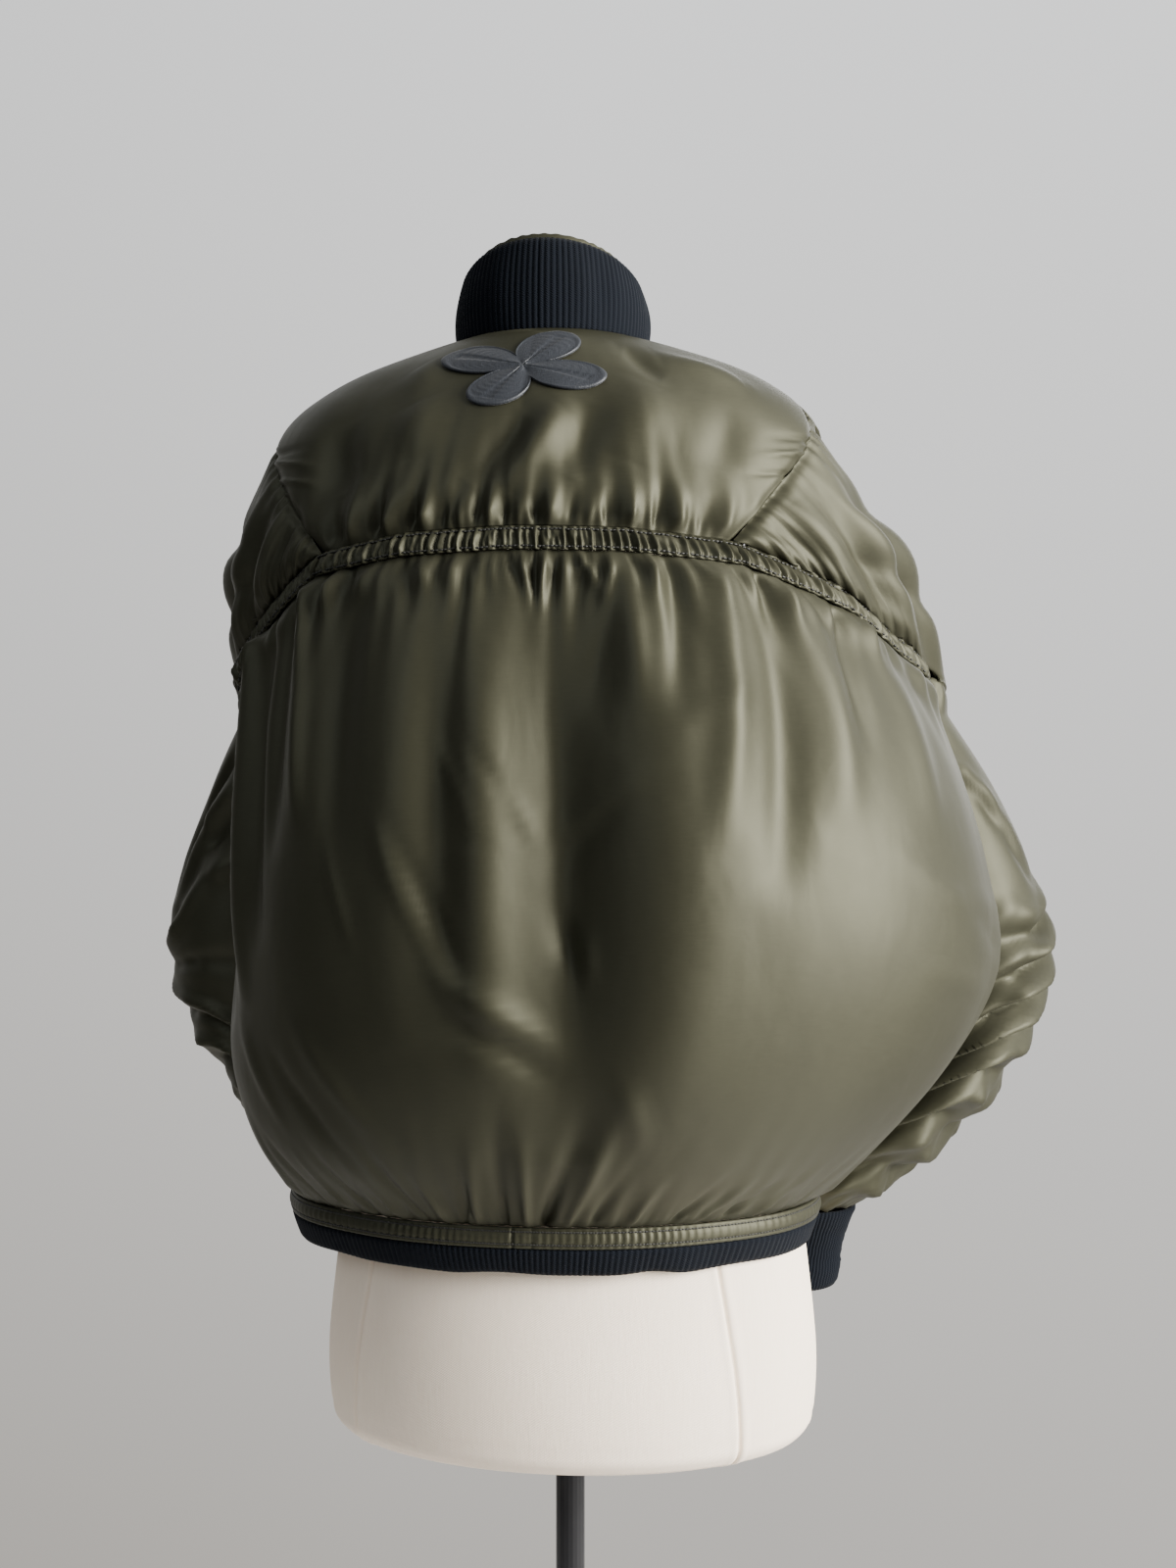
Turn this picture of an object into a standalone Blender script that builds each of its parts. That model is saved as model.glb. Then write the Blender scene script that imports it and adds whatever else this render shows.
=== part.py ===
"""Satin bomber jacket with a gathered back, worn on a limbless dress form.

Metres, +Z up. The origin is on the floor under the form's pole. The jacket's front faces -Y and
its back +Y; the wearer's left is +X. Angles round the body are in degrees, 0 at the centre back
and positive towards the wearer's left, so 180 is the zip.
"""
import math

import bmesh
import bpy
import numpy as np
from mathutils import Matrix, Vector

COLLECTION = "bomber_jacket_on_form"

# Driving sizes of the jacket
SEAM_GAP = 0.0003
SATIN_WALL = 0.004
RIB_WALL = 0.0032
RIB_RELIEF = 0.0007
GARMENT_SHIFT = 0.016
NECK_SHIFT = (-0.006, 0.020)
HEM_LEVEL = 0.628
BAND_HEIGHT = 0.014
HEM_RIB_HEIGHT = 0.018
HEM_RIB_TUCK = 0.003
BAND_RELIEF = 0.0008
CASING_WIDTH = 0.016
ARMPIT_LEVEL = 0.985
NECK_LEVEL = 1.233
NECK_FRONT_DROP = 0.043
NECK_RADIUS = 0.068
COLLAR_TOP_RADIUS = 0.063
COLLAR_HEIGHT = {"back": 0.062, "side": 0.040, "front": 0.053}
FACING_WALL = 0.0012
FACING_START = 0.55
FACING_STANDS_PROUD = 0.0022
ZIP_HALF_WIDTH = 0.0065
SLIDER_LENGTH = 0.0130
CUFF_HEIGHT = 0.062

# Gathers: how many, and how far the cloth stands out (metres)
PANEL_FOLDS = 24
PANEL_FOLD_DEPTH = 0.0048
PANEL_FOLD_LENGTH = 0.16
YOKE_FOLDS = 15
YOKE_FOLD_DEPTH = 0.0026
YOKE_FOLD_LENGTH = 0.35
HEM_FOLD_DEPTH = 0.0045
HEM_FOLD_LENGTH = 0.14
CASING_PUCKERS = 56
CASING_RELIEF = 0.0013
COLLAR_RIBS = 40
HEM_RIBS = 60
CUFF_RIBS = 22

# Driving sizes of the dress form
BASE_RADIUS = 0.165
BASE_HEIGHT = 0.012
POLE_RADIUS = 0.0105
FORM_BOTTOM = 0.455
FORM_NECK_TOP = 1.262
REST_GAP = 0.0006

# Angles of the columns of the tables below
LEFT_SEAM, RIGHT_SEAM = 108.0, -116.0
BACK_SPREAD = LEFT_SEAM - RIGHT_SEAM
BACK_COLUMNS = {
    "left_edge": 84.0, "left_back": 70.0, "left_blade": 46.0, "spine": 0.0,
    "right_blade": -48.0, "right_back": -73.0, "right_side": -85.0, "right_edge": -99.0,
}
UPPER_COLUMNS = (0.0, 25.0, 46.0, 62.0, 77.0, 90.0, 108.0, 130.0, 155.0, 180.0)
FRONT_COLUMNS = (130.0, 155.0, 180.0)

# Radius of the gathered back at each column; "rise" runs from the hem, 0, to the casing, 1
BACK_ROWS = (
    # rise, left_edge, left_back, left_blade, spine, right_blade, right_back, right_side, right_edge
    (0.00, 0.187, 0.181, 0.160, 0.140, 0.164, 0.188, 0.194, 0.194),
    (0.08, 0.206, 0.205, 0.192, 0.172, 0.198, 0.222, 0.230, 0.226),
    (0.20, 0.218, 0.224, 0.215, 0.200, 0.235, 0.264, 0.274, 0.266),
    (0.42, 0.215, 0.226, 0.226, 0.210, 0.266, 0.302, 0.315, 0.316),
    (0.60, 0.211, 0.222, 0.222, 0.206, 0.262, 0.296, 0.308, 0.307),
    (0.78, 0.213, 0.218, 0.212, 0.194, 0.243, 0.270, 0.286, 0.290),
    (0.92, 0.220, 0.213, 0.199, 0.175, 0.213, 0.240, 0.258, 0.278),
    (1.00, 0.229, 0.208, 0.187, 0.158, 0.190, 0.222, 0.241, 0.268),
)
# Height of the casing's upper edge round the back: (angle, height)
CASING_LINE = (
    (-116.0, 0.985), (-99.0, 1.003), (-85.0, 1.030), (-73.0, 1.052), (-48.0, 1.079), (-25.0, 1.086),
    (0.0, 1.088), (25.0, 1.085), (46.0, 1.075), (70.0, 1.033), (84.0, 0.997), (108.0, 0.985),
)
# The sleeve heads' columns along that line, as (column, angle): they stop at its corners
CASING_STOPS = {
    "left": ((0, 83.0), (2, 70.0), (7, 47.8)),
    "right": ((0, -98.0), (2, -85.0), (4, -73.0), (7, -50.6)),
}
# Radius of the side seams: (height, radius)
SIDE_SEAM = (
    (0.628, 0.184), (0.660, 0.187), (0.720, 0.188), (0.800, 0.186),
    (0.900, 0.182), (0.985, 0.176), (1.075, 0.170),
)
# Radius of the fronts below the chest: rise, then one radius for each of FRONT_COLUMNS
FRONT_ROWS = (
    (0.0, 0.160, 0.140, 0.132),
    (0.1, 0.172, 0.152, 0.142),
    (0.3, 0.175, 0.156, 0.146),
    (0.6, 0.170, 0.152, 0.142),
    (0.8, 0.165, 0.148, 0.140),
    (1.0, 0.155, 0.136, 0.130),
)
# Radius from the casing's level to the neck: share of the way up, the lean of the wall from
# level in degrees, then one radius for each of UPPER_COLUMNS
UPPER_ROWS = (
    (0.00, 0.0, 0.158, 0.168, 0.187, 0.205, 0.215, 0.205, 0.170, 0.155, 0.136, 0.130),
    (0.30, 15.0, 0.149, 0.158, 0.178, 0.198, 0.208, 0.200, 0.172, 0.147, 0.129, 0.122),
    (0.55, 35.0, 0.132, 0.141, 0.162, 0.185, 0.197, 0.192, 0.166, 0.136, 0.117, 0.110),
    (0.72, 50.0, 0.112, 0.120, 0.140, 0.160, 0.172, 0.170, 0.148, 0.120, 0.103, 0.097),
    (0.85, 50.0, 0.094, 0.100, 0.114, 0.128, 0.136, 0.135, 0.118, 0.100, 0.089, 0.085),
    (0.94, 45.0, 0.079, 0.082, 0.088, 0.094, 0.097, 0.096, 0.088, 0.082, 0.077, 0.075),
    (1.00, 40.0) + (NECK_RADIUS,) * len(UPPER_COLUMNS),
)
# Rows of the yoke and of the fronts, as shares; both meet the sleeves at the ones to the tip
YOKE_SHARES = (0.003, 0.06, 0.16, 0.30, 0.46, 0.62, 0.74, 0.84, 0.92, 1.0)
FRONT_SHARES = (-0.999, -0.93, -0.82, -0.64, -0.42, -0.193, -0.10, 0.0, 0.12, 0.24, 0.36, 0.50,
                0.62, 0.74, 0.84, 0.92, 1.0)
# How many sleeve columns run along each of those steps, from the tip down and from the armpit up
BACK_SEAM_STEPS = (3, 3, 2, 2, 1)
FRONT_SEAM_STEPS = (2, 2, 2, 2, 2, 1, 1)
# Armhole and shoulder seams, as the angle where the yoke or the front ends: (share up, left, right)
SHOULDER_TIP = 0.62
BACK_EDGE = ((0.0, 46.0, 48.0), (0.22, 57.0, 58.0), (0.44, 68.0, 69.0), (SHOULDER_TIP, 77.0, 78.0),
             (0.80, 84.0, 85.0), (1.0, 90.0, 90.0))
# The front's edge: share up, -1 at the hem and 0 at the casing's level, then left and right
FRONT_EDGE = ((-1.0, 108.0, 116.0), (-0.193, 108.0, 116.0), (-0.10, 117.0, 121.0), (0.0, 122.0, 124.0),
              (0.20, 118.0, 119.0), (0.45, 98.0, 98.0), (SHOULDER_TIP, 77.0, 78.0),
              (0.80, 84.0, 85.0), (1.0, 90.0, 90.0))

# Sleeves below the armpit: height, centre x and y, half width across, half depth
SLEEVE_ROWS = {
    "left": (
        (0.972, 0.214, -0.080, 0.046, 0.054),
        (0.920, 0.234, -0.082, 0.055, 0.060),
        (0.860, 0.254, -0.080, 0.061, 0.062),
        (0.800, 0.264, -0.080, 0.063, 0.062),
        (0.740, 0.254, -0.090, 0.061, 0.060),
        (0.690, 0.234, -0.104, 0.055, 0.056),
        (0.650, 0.213, -0.116, 0.047, 0.050),
        (0.612, 0.192, -0.126, 0.038, 0.042),
    ),
    "right": (
        (0.972, -0.222, -0.112, 0.052, 0.058),
        (0.920, -0.250, -0.120, 0.058, 0.062),
        (0.860, -0.274, -0.126, 0.062, 0.062),
        (0.800, -0.286, -0.132, 0.064, 0.062),
        (0.740, -0.279, -0.140, 0.063, 0.060),
        (0.680, -0.250, -0.148, 0.058, 0.057),
        (0.630, -0.208, -0.154, 0.050, 0.050),
        (0.590, -0.168, -0.154, 0.038, 0.042),
    ),
}
CUFF_SHIFT = {"left": (-0.012, -0.010), "right": (0.012, 0.000)}
SLEEVE_OUTER_POINT = {"left": (0.254, -0.012, 0.997), "right": (-0.262, -0.062, 1.000)}
SLEEVE_TOP = 0.990
SLEEVE_HEAD_BULGE = 0.030
SLEEVE_COLUMNS = 24
SLEEVE_FRONT_COLUMNS = 12
SLEEVE_OUTER_COLUMNS = 3
SLEEVE_RINGS = 12
SLEEVE_CLEAR = 0.0028
SCRUNCH_DEPTH = 0.0042
SCRUNCH_FOLDS = 6.0

# Dress form below the shoulders: height, shift in x, half width, half depth
FORM_ROWS = (
    (FORM_BOTTOM, 0.000, 0.158, 0.108),
    (0.460, 0.000, 0.168, 0.117),
    (0.474, 0.000, 0.1745, 0.1235),
    (0.520, 0.000, 0.1765, 0.126),
    (0.590, 0.000, 0.1695, 0.120),
    (0.635, 0.001, 0.1650, 0.116),
    (0.700, 0.002, 0.158, 0.108),
    (0.800, 0.004, 0.132, 0.096),
    (0.870, 0.006, 0.122, 0.094),
    (0.950, 0.008, 0.138, 0.106),
    (1.030, 0.010, 0.136, 0.104),
    (1.090, 0.012, 0.137, 0.098),
)
# The form's shoulders follow the jacket's: share up, how far they stay under its wall
FORM_SHOULDERS = ((0.34, 0.046), (0.50, 0.034), (0.62, 0.023), (0.74, 0.011), (0.84, 0.003), (0.92, 0.0008),
                  (1.0, 0.003))
FORM_COLUMNS = 24
FORM_NECK_RADIUS = 0.050

# Colours: linear red, green, blue, then roughness and metallic
FINISHES = {
    "satin": ((0.055, 0.058, 0.032), 0.34, 0.0),
    "rib": ((0.006, 0.008, 0.012), 0.9, 0.0),
    "zip_tape": ((0.008, 0.009, 0.010), 0.8, 0.0),
    "zip_metal": ((0.35, 0.33, 0.28), 0.3, 1.0),
    "stitch_patch": ((0.035, 0.040, 0.050), 0.5, 0.0),
    "form_cover": ((0.74, 0.66, 0.57), 0.85, 0.0),
    "form_steel": ((0.012, 0.012, 0.013), 0.35, 0.6),
}


def smooth_lookup(where, knots, values):
    """Read a smooth curve through (knots, values), a cubic held flat past both ends."""
    knots = np.asarray(knots, float)
    values = np.asarray(values, float)
    where = np.clip(np.asarray(where, float), knots[0], knots[-1])
    slopes = np.gradient(values, knots, axis=0)
    index = np.clip(np.searchsorted(knots, where, side="right") - 1, 0, len(knots) - 2)
    span = knots[index + 1] - knots[index]
    part = (where - knots[index]) / span
    if values.ndim > 1:
        part, span = part[..., None], span[..., None]
    start = (1 + 2 * part) * (1 - part) ** 2 * values[index]
    start_slope = part * (1 - part) ** 2 * span * slopes[index]
    end = part ** 2 * (3 - 2 * part) * values[index + 1]
    end_slope = part ** 2 * (part - 1) * span * slopes[index + 1]
    return start + start_slope + end + end_slope


def ease(part):
    """A smooth step from 0 to 1."""
    part = np.clip(part, 0.0, 1.0)
    return part * part * (3 - 2 * part)


def radial(angle):
    """Unit vectors that point out from the body at the given angles."""
    turn = np.radians(angle)
    return np.stack([np.sin(turn), np.cos(turn), np.zeros_like(turn)], axis=-1)


def body_point(angle, radius, height, shift=(0.0, 0.0)):
    """A point of the garment from its angle, its radius from the garment's centre and its height."""
    angle, radius, height = np.broadcast_arrays(angle, radius, height)
    point = radial(angle) * radius[..., None]
    point[..., 0] += GARMENT_SHIFT
    point[..., :2] += shift
    point[..., 2] = height
    return point


def casing_height(angle):
    """Height of the casing's upper edge at an angle."""
    line = np.array(CASING_LINE)
    return np.interp(angle, line[:, 0], line[:, 1])


def stations(start, end, spacing):
    """Angles from start to end, evenly spaced but for a stop at each corner of the casing's line."""
    corners = [start, *(row[0] for row in CASING_LINE if start + 0.5 < row[0] < end - 0.5), end]
    angles = [start]
    for low, high in zip(corners, corners[1:]):
        count = max(round((high - low) / spacing), 1)
        angles.extend(low + (high - low) * step / count for step in range(1, count + 1))
    return np.array(angles)


def waist_split(angle):
    """Height where the lower and the upper body meet, level with the casing."""
    return casing_height(np.clip(angle, BACK_COLUMNS["right_blade"], BACK_COLUMNS["left_blade"]))


def seam_radius(height):
    """Radius of both side seams at a height."""
    line = np.array(SIDE_SEAM)
    return smooth_lookup(height, line[:, 0], line[:, 1])


def back_radius(angle, height):
    """Radius of the gathered back at given angles and heights, without its small folds."""
    rows = np.array(BACK_ROWS)
    rise = (height - HEM_LEVEL) / (casing_height(angle) - HEM_LEVEL)
    columns = smooth_lookup(rise, rows[:, 0], rows[:, 1:])
    seams = seam_radius(height)
    knots = np.array([LEFT_SEAM, *BACK_COLUMNS.values(), RIGHT_SEAM])[::-1]
    values = np.concatenate([seams[:, None], columns, seams[:, None]], axis=1)[:, ::-1]
    return np.array([smooth_lookup(a, knots, row) for a, row in zip(angle, values)])


def front_radius(angle, height):
    """Radius of the fronts below the chest."""
    rows = np.array(FRONT_ROWS)
    rise = (height - HEM_LEVEL) / (waist_split(angle) - HEM_LEVEL)
    columns = smooth_lookup(rise, rows[:, 0], rows[:, 1:])
    seams = seam_radius(height)
    values = np.concatenate([seams[:, None], columns], axis=1)
    starts = np.where(angle > 0, LEFT_SEAM, -RIGHT_SEAM)
    return np.array([smooth_lookup(abs(a), (start, *FRONT_COLUMNS), row)
                     for a, start, row in zip(angle, starts, values)])


def neck_height(angle):
    """Height of the neck seam: level behind, lower at the front."""
    return NECK_LEVEL - NECK_FRONT_DROP * ease((np.abs(angle) - 90.0) / 90.0)


def upper_surface(angle, share, lift=0.0):
    """Points and inward directions of the yoke and the chest, share 0 at the casing, 1 at the neck."""
    rows = np.array(UPPER_ROWS)
    angle, share = np.broadcast_arrays(np.asarray(angle, float), np.asarray(share, float))
    columns = smooth_lookup(share, rows[:, 0], rows[:, 2:])
    radius = np.array([smooth_lookup(abs(a), UPPER_COLUMNS, row) for a, row in zip(angle, columns)])
    lean = np.radians(smooth_lookup(share, rows[:, 0], rows[:, 1]))
    height = waist_split(angle) + share * (neck_height(angle) - waist_split(angle))
    inward = -radial(angle) * np.cos(lean)[:, None]
    inward[:, 2] = -np.sin(lean)
    point = body_point(angle, radius, height, np.outer(share, NECK_SHIFT))
    return point - inward * np.asarray(lift)[..., None], inward


def uneven_wave(angle, count, spread=BACK_SPREAD):
    """A wave from -1 to 1 with count crests over a spread of angle, unevenly spaced and sharp."""
    phase = count * (angle / spread) * 2 * math.pi
    phase = phase + 1.1 * np.sin(angle / 13.0) + 0.8 * np.sin(angle / 5.7 + 1.3)
    return np.sin(phase) * (0.72 + 0.28 * np.sin(angle / 9.0 + 0.6))


def new_object(name, mesh, finish):
    """Put a mesh into the collection under its name, with its material."""
    item = bpy.data.objects.new(name, mesh)
    bpy.data.collections[COLLECTION].objects.link(item)
    item.data.materials.clear()
    item.data.materials.append(bpy.data.materials[finish])
    return item


def wall(name, outer, inner, finish, closed=False):
    """A cloth wall lofted between an outer and an inner grid of points, with its rims.

    The grids are rows of columns. Rows go up and columns go so that the outer side faces out.
    A closed wall joins its last column to its first.
    """
    rows, columns = outer.shape[:2]
    mesh = bmesh.new()
    outside = [[mesh.verts.new(point) for point in row] for row in outer]
    inside = [[mesh.verts.new(point) for point in row] for row in inner]
    steps = range(columns if closed else columns - 1)
    for row in range(rows - 1):
        for column in steps:
            after = (column + 1) % columns
            mesh.faces.new((outside[row][column], outside[row][after],
                            outside[row + 1][after], outside[row + 1][column]))
            mesh.faces.new((inside[row][column], inside[row + 1][column],
                            inside[row + 1][after], inside[row][after]))
        if not closed:
            for column in (0, columns - 1):
                mesh.faces.new((outside[row][column], outside[row + 1][column],
                                inside[row + 1][column], inside[row][column]))
    for column in steps:
        after = (column + 1) % columns
        for row in (0, rows - 1):
            mesh.faces.new((outside[row][column], outside[row][after],
                            inside[row][after], inside[row][column]))
    bmesh.ops.recalc_face_normals(mesh, faces=mesh.faces)
    bmesh.ops.triangulate(mesh, faces=mesh.faces, quad_method="SHORT_EDGE")
    data = bpy.data.meshes.new(name)
    mesh.to_mesh(data)
    mesh.free()
    data.shade_smooth()
    return new_object(name, data, finish)


def grid_normals(points, closed=False):
    """Unit normals at the points of a grid, each the mean of the faces round it."""
    after = np.roll(points, -1, axis=1)
    faces = np.cross(after[1:] - points[:-1], points[1:] - after[:-1])
    if not closed:
        faces[:, -1] = 0.0
    faces /= np.maximum(np.linalg.norm(faces, axis=-1, keepdims=True), 1e-12)
    faces = faces + np.roll(faces, 1, axis=1)
    total = np.concatenate([faces[:1], faces[:-1] + faces[1:], faces[-1:]])
    return total / np.linalg.norm(total, axis=-1, keepdims=True)


def panel_folds(angle, height):
    """How far the gathers under the casing and over the hem stand out."""
    below = np.clip((casing_height(angle) - CASING_WIDTH - height) / PANEL_FOLD_LENGTH, 0.0, 1.0)
    above = np.clip((height - HEM_LEVEL) / HEM_FOLD_LENGTH, 0.0, 1.0)
    top = PANEL_FOLD_DEPTH * (1 - below) ** 1.3 * uneven_wave(angle, PANEL_FOLDS)
    bottom = HEM_FOLD_DEPTH * (1 - above) ** 1.5 * uneven_wave(angle + 40.0, PANEL_FOLDS)
    end_fade = ease((LEFT_SEAM - angle) / 8.0) * ease((angle - RIGHT_SEAM) / 8.0)
    return (top + bottom * ease(above * 6.0)) * end_fade


def make_back_panel():
    """The big gathered lower back, a cocoon that swings wide of the form."""
    angle = stations(RIGHT_SEAM, LEFT_SEAM - 0.1, 3.4)
    low = HEM_LEVEL + SEAM_GAP
    high = casing_height(angle) - CASING_WIDTH - SEAM_GAP
    outer, inner = [], []
    for share in (0.0, 0.04, 0.10, 0.18, 0.30, 0.44, 0.58, 0.72, 0.85, 0.94, 1.0):
        height = low + share * (high - low)
        radius = back_radius(angle, height) + panel_folds(angle, height)
        outer.append(body_point(angle, radius, height))
        inner.append(body_point(angle, radius - SATIN_WALL, height))
    wall("back_panel", np.array(outer), np.array(inner), "satin")


def make_casings():
    """The gathered elastic casing: across the back, and on over both sleeves."""
    def low(angle):
        return casing_height(angle) - CASING_WIDTH

    def puckers(angle, height):
        share = (height - low(angle)) / CASING_WIDTH
        crest = np.arange(len(angle)) % 2
        return CASING_RELIEF * crest * (0.35 + 0.65 * np.sin(math.pi * share) ** 2)

    split = 0.12
    spans = {
        "casing_right": (RIGHT_SEAM, -48.0 - split),
        "back_casing": (-48.0, 46.0),
        "casing_left": (46.0 + split, LEFT_SEAM - 0.1),
    }
    for name, (start, end) in spans.items():
        angle = stations(start, end, BACK_SPREAD / CASING_PUCKERS / 2)
        outer, inner = [], []
        for share in (0.0, 0.5, 1.0):
            height = low(angle) + share * CASING_WIDTH
            base = back_radius(angle, height)
            outer.append(body_point(angle, base + puckers(angle, height), height))
            inner.append(body_point(angle, base - SATIN_WALL, height))
        wall(name, np.array(outer), np.array(inner), "satin")


def yoke_folds(angle, share):
    """How far the gathers over the casing stand out."""
    fade = np.clip(1 - share / YOKE_FOLD_LENGTH, 0.0, 1.0) ** 1.4
    return YOKE_FOLD_DEPTH * fade * uneven_wave(angle + 11.0, YOKE_FOLDS, 94.0)


def make_yoke():
    """The upper back, from the casing to the neck and out to the armhole and shoulder seams."""
    edges = np.array(BACK_EDGE)
    outer, inner = [], []
    for share in YOKE_SHARES:
        left = np.interp(share, edges[:, 0], edges[:, 1])
        right = np.interp(share, edges[:, 0], edges[:, 2])
        angle = np.linspace(-right, left, 35)
        points, inward = upper_surface(angle, share, yoke_folds(angle, share))
        outer.append(points)
        inner.append(points + inward * SATIN_WALL)
    wall("back_yoke", np.array(outer), np.array(inner), "satin")


def front_surface(angle, share):
    """Points and inward directions of the fronts: share -1 at the hem, 0 at the chest, 1 at the neck."""
    if share >= 0.0:
        return upper_surface(angle, share)
    height = HEM_LEVEL + (1.0 + share) * (waist_split(angle) - HEM_LEVEL)
    return body_point(angle, front_radius(angle, height), height), -radial(angle)


def make_front(side):
    """One front, from its side seam and armhole to the zip, plain because the photo hides it."""
    sign, column = (1, 1) if side == "left" else (-1, 2)
    edges = np.array(FRONT_EDGE)
    outer, inner = [], []
    for share in FRONT_SHARES:
        start = np.interp(share, edges[:, 0], edges[:, column])
        probe, _ = front_surface(np.array([sign * 180.0]), share)
        reach = abs(probe[0, 1] - NECK_SHIFT[1] * max(share, 0.0))
        zip_angle = 180.0 - math.degrees(math.asin((ZIP_HALF_WIDTH + SEAM_GAP) / reach))
        gap_angle = math.degrees(SEAM_GAP / 0.12)
        angle = sign * np.linspace(start + gap_angle, zip_angle, 10)
        points, inward = front_surface(angle, share)
        order = slice(None, None, sign)
        outer.append(points[order])
        inner.append((points + inward * SATIN_WALL)[order])
    wall(f"front_{side}", np.array(outer), np.array(inner), "satin")


def body_radius(angle, height):
    """Radius of the jacket's body all round, below the casing's level."""
    angle = (np.asarray(angle, float) + 180.0) % 360.0 - 180.0
    height = np.broadcast_to(np.asarray(height, float), angle.shape)
    behind = (angle < LEFT_SEAM) & (angle > RIGHT_SEAM)
    radius = np.empty_like(angle)
    level = np.maximum(height, HEM_LEVEL)
    if behind.any():
        radius[behind] = back_radius(angle[behind], level[behind])
        radius[behind] += np.abs(panel_folds(angle[behind], level[behind]))
    if (~behind).any():
        radius[~behind] = front_radius(angle[~behind], level[~behind])
    return radius


def squeeze(points, centre):
    """Pull a sleeve's ring in towards its centre wherever it would touch the body."""
    best = centre + 0.15 * (points - centre)
    settled = np.zeros(len(points), bool)
    for share in np.linspace(1.0, 0.15, 60):
        trial = centre + share * (points - centre)
        offset = trial[:, :2] - (GARMENT_SHIFT, 0.0)
        angle = np.degrees(np.arctan2(offset[:, 0], offset[:, 1]))
        clear = np.hypot(*offset.T) > body_radius(angle, trial[:, 2]) + SLEEVE_CLEAR
        take = clear & ~settled
        best[take] = trial[take]
        settled |= clear
    return best


def along_seam(points, steps):
    """Points of a seam with extra ones on its straight runs, steps[i] of them for run i."""
    course = [points[0]]
    for start, end, count in zip(points, points[1:], steps):
        course.extend(start + (end - start) * step / count for step in range(1, count + 1))
    return np.array(course)


def armhole_seam(side):
    """The armhole's seam: from the armpit up the front to the tip, and down the back to the casing."""
    sign, column = (1, 1) if side == "left" else (-1, 2)
    back, front = np.array(BACK_EDGE), np.array(FRONT_EDGE)
    climb = []
    for share in [share for share in FRONT_SHARES if front[1, 0] <= share <= SHOULDER_TIP]:
        angle = sign * np.interp(share, front[:, 0], front[:, column])
        climb.append(front_surface(np.array([angle]), share)[0][0])
    shares = np.array([share for share in YOKE_SHARES if share <= SHOULDER_TIP])[::-1]
    angle = sign * np.interp(shares, back[:, 0], back[:, column])
    down, _ = upper_surface(angle, shares, yoke_folds(angle, shares))
    seam = np.concatenate([along_seam(np.array(climb), FRONT_SEAM_STEPS)[:-1],
                           along_seam(down, BACK_SEAM_STEPS)])
    towards = seam.mean(axis=0) - seam
    return seam + towards / np.linalg.norm(towards, axis=1, keepdims=True) * 0.0006


def sleeve_section(side, height):
    """Centre and points of a sleeve's section at a height, column 0 outermost, before squeezing.

    The section is an oval with a corner towards the casing's end at the top, scrunched lower down.
    """
    sign = 1 if side == "left" else -1
    rows = np.array(SLEEVE_ROWS[side])[::-1]
    centre_x, centre_y, across, deep = smooth_lookup(np.array([height]), rows[:, 0], rows[:, 1:])[0]
    turn = 2 * math.pi * np.arange(SLEEVE_COLUMNS) / SLEEVE_COLUMNS
    corner = ease((height - 0.87) / 0.11) * ((turn > 0) & (turn < math.pi / 2))
    power = 1.0 - 0.4 * corner
    scrunch = ease((0.86 - height) / 0.10) * ease((height - rows[0, 0]) / 0.02)
    ripple = np.sin(SCRUNCH_FOLDS * 2 * math.pi * (0.86 - height) / 0.25 + 1.7 * np.sin(turn + 0.5))
    relief = scrunch * SCRUNCH_DEPTH * ripple
    cosine = np.sign(np.cos(turn)) * np.abs(np.cos(turn)) ** power
    sine = np.sign(np.sin(turn)) * np.abs(np.sin(turn)) ** power
    points = np.stack([centre_x + sign * (across + relief) * cosine,
                       centre_y + (deep + relief + 0.014 * corner) * sine,
                       np.full_like(turn, height)], axis=1)
    return np.array([centre_x, centre_y, height]), points


def sleeve_top_ring(side):
    """The upper edge of a sleeve's tube, which meets the head in front and outside."""
    centre, ring = sleeve_section(side, SLEEVE_TOP)
    ring = squeeze(ring, centre)
    outer = SLEEVE_OUTER_POINT[side]
    ring[SLEEVE_OUTER_COLUMNS] = outer
    for column in range(1, SLEEVE_OUTER_COLUMNS):
        ring[column, 2] += (outer[2] - SLEEVE_TOP) * column / SLEEVE_OUTER_COLUMNS
    ring[SLEEVE_OUTER_COLUMNS + 1:SLEEVE_FRONT_COLUMNS, 2] -= 0.006
    return ring


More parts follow.
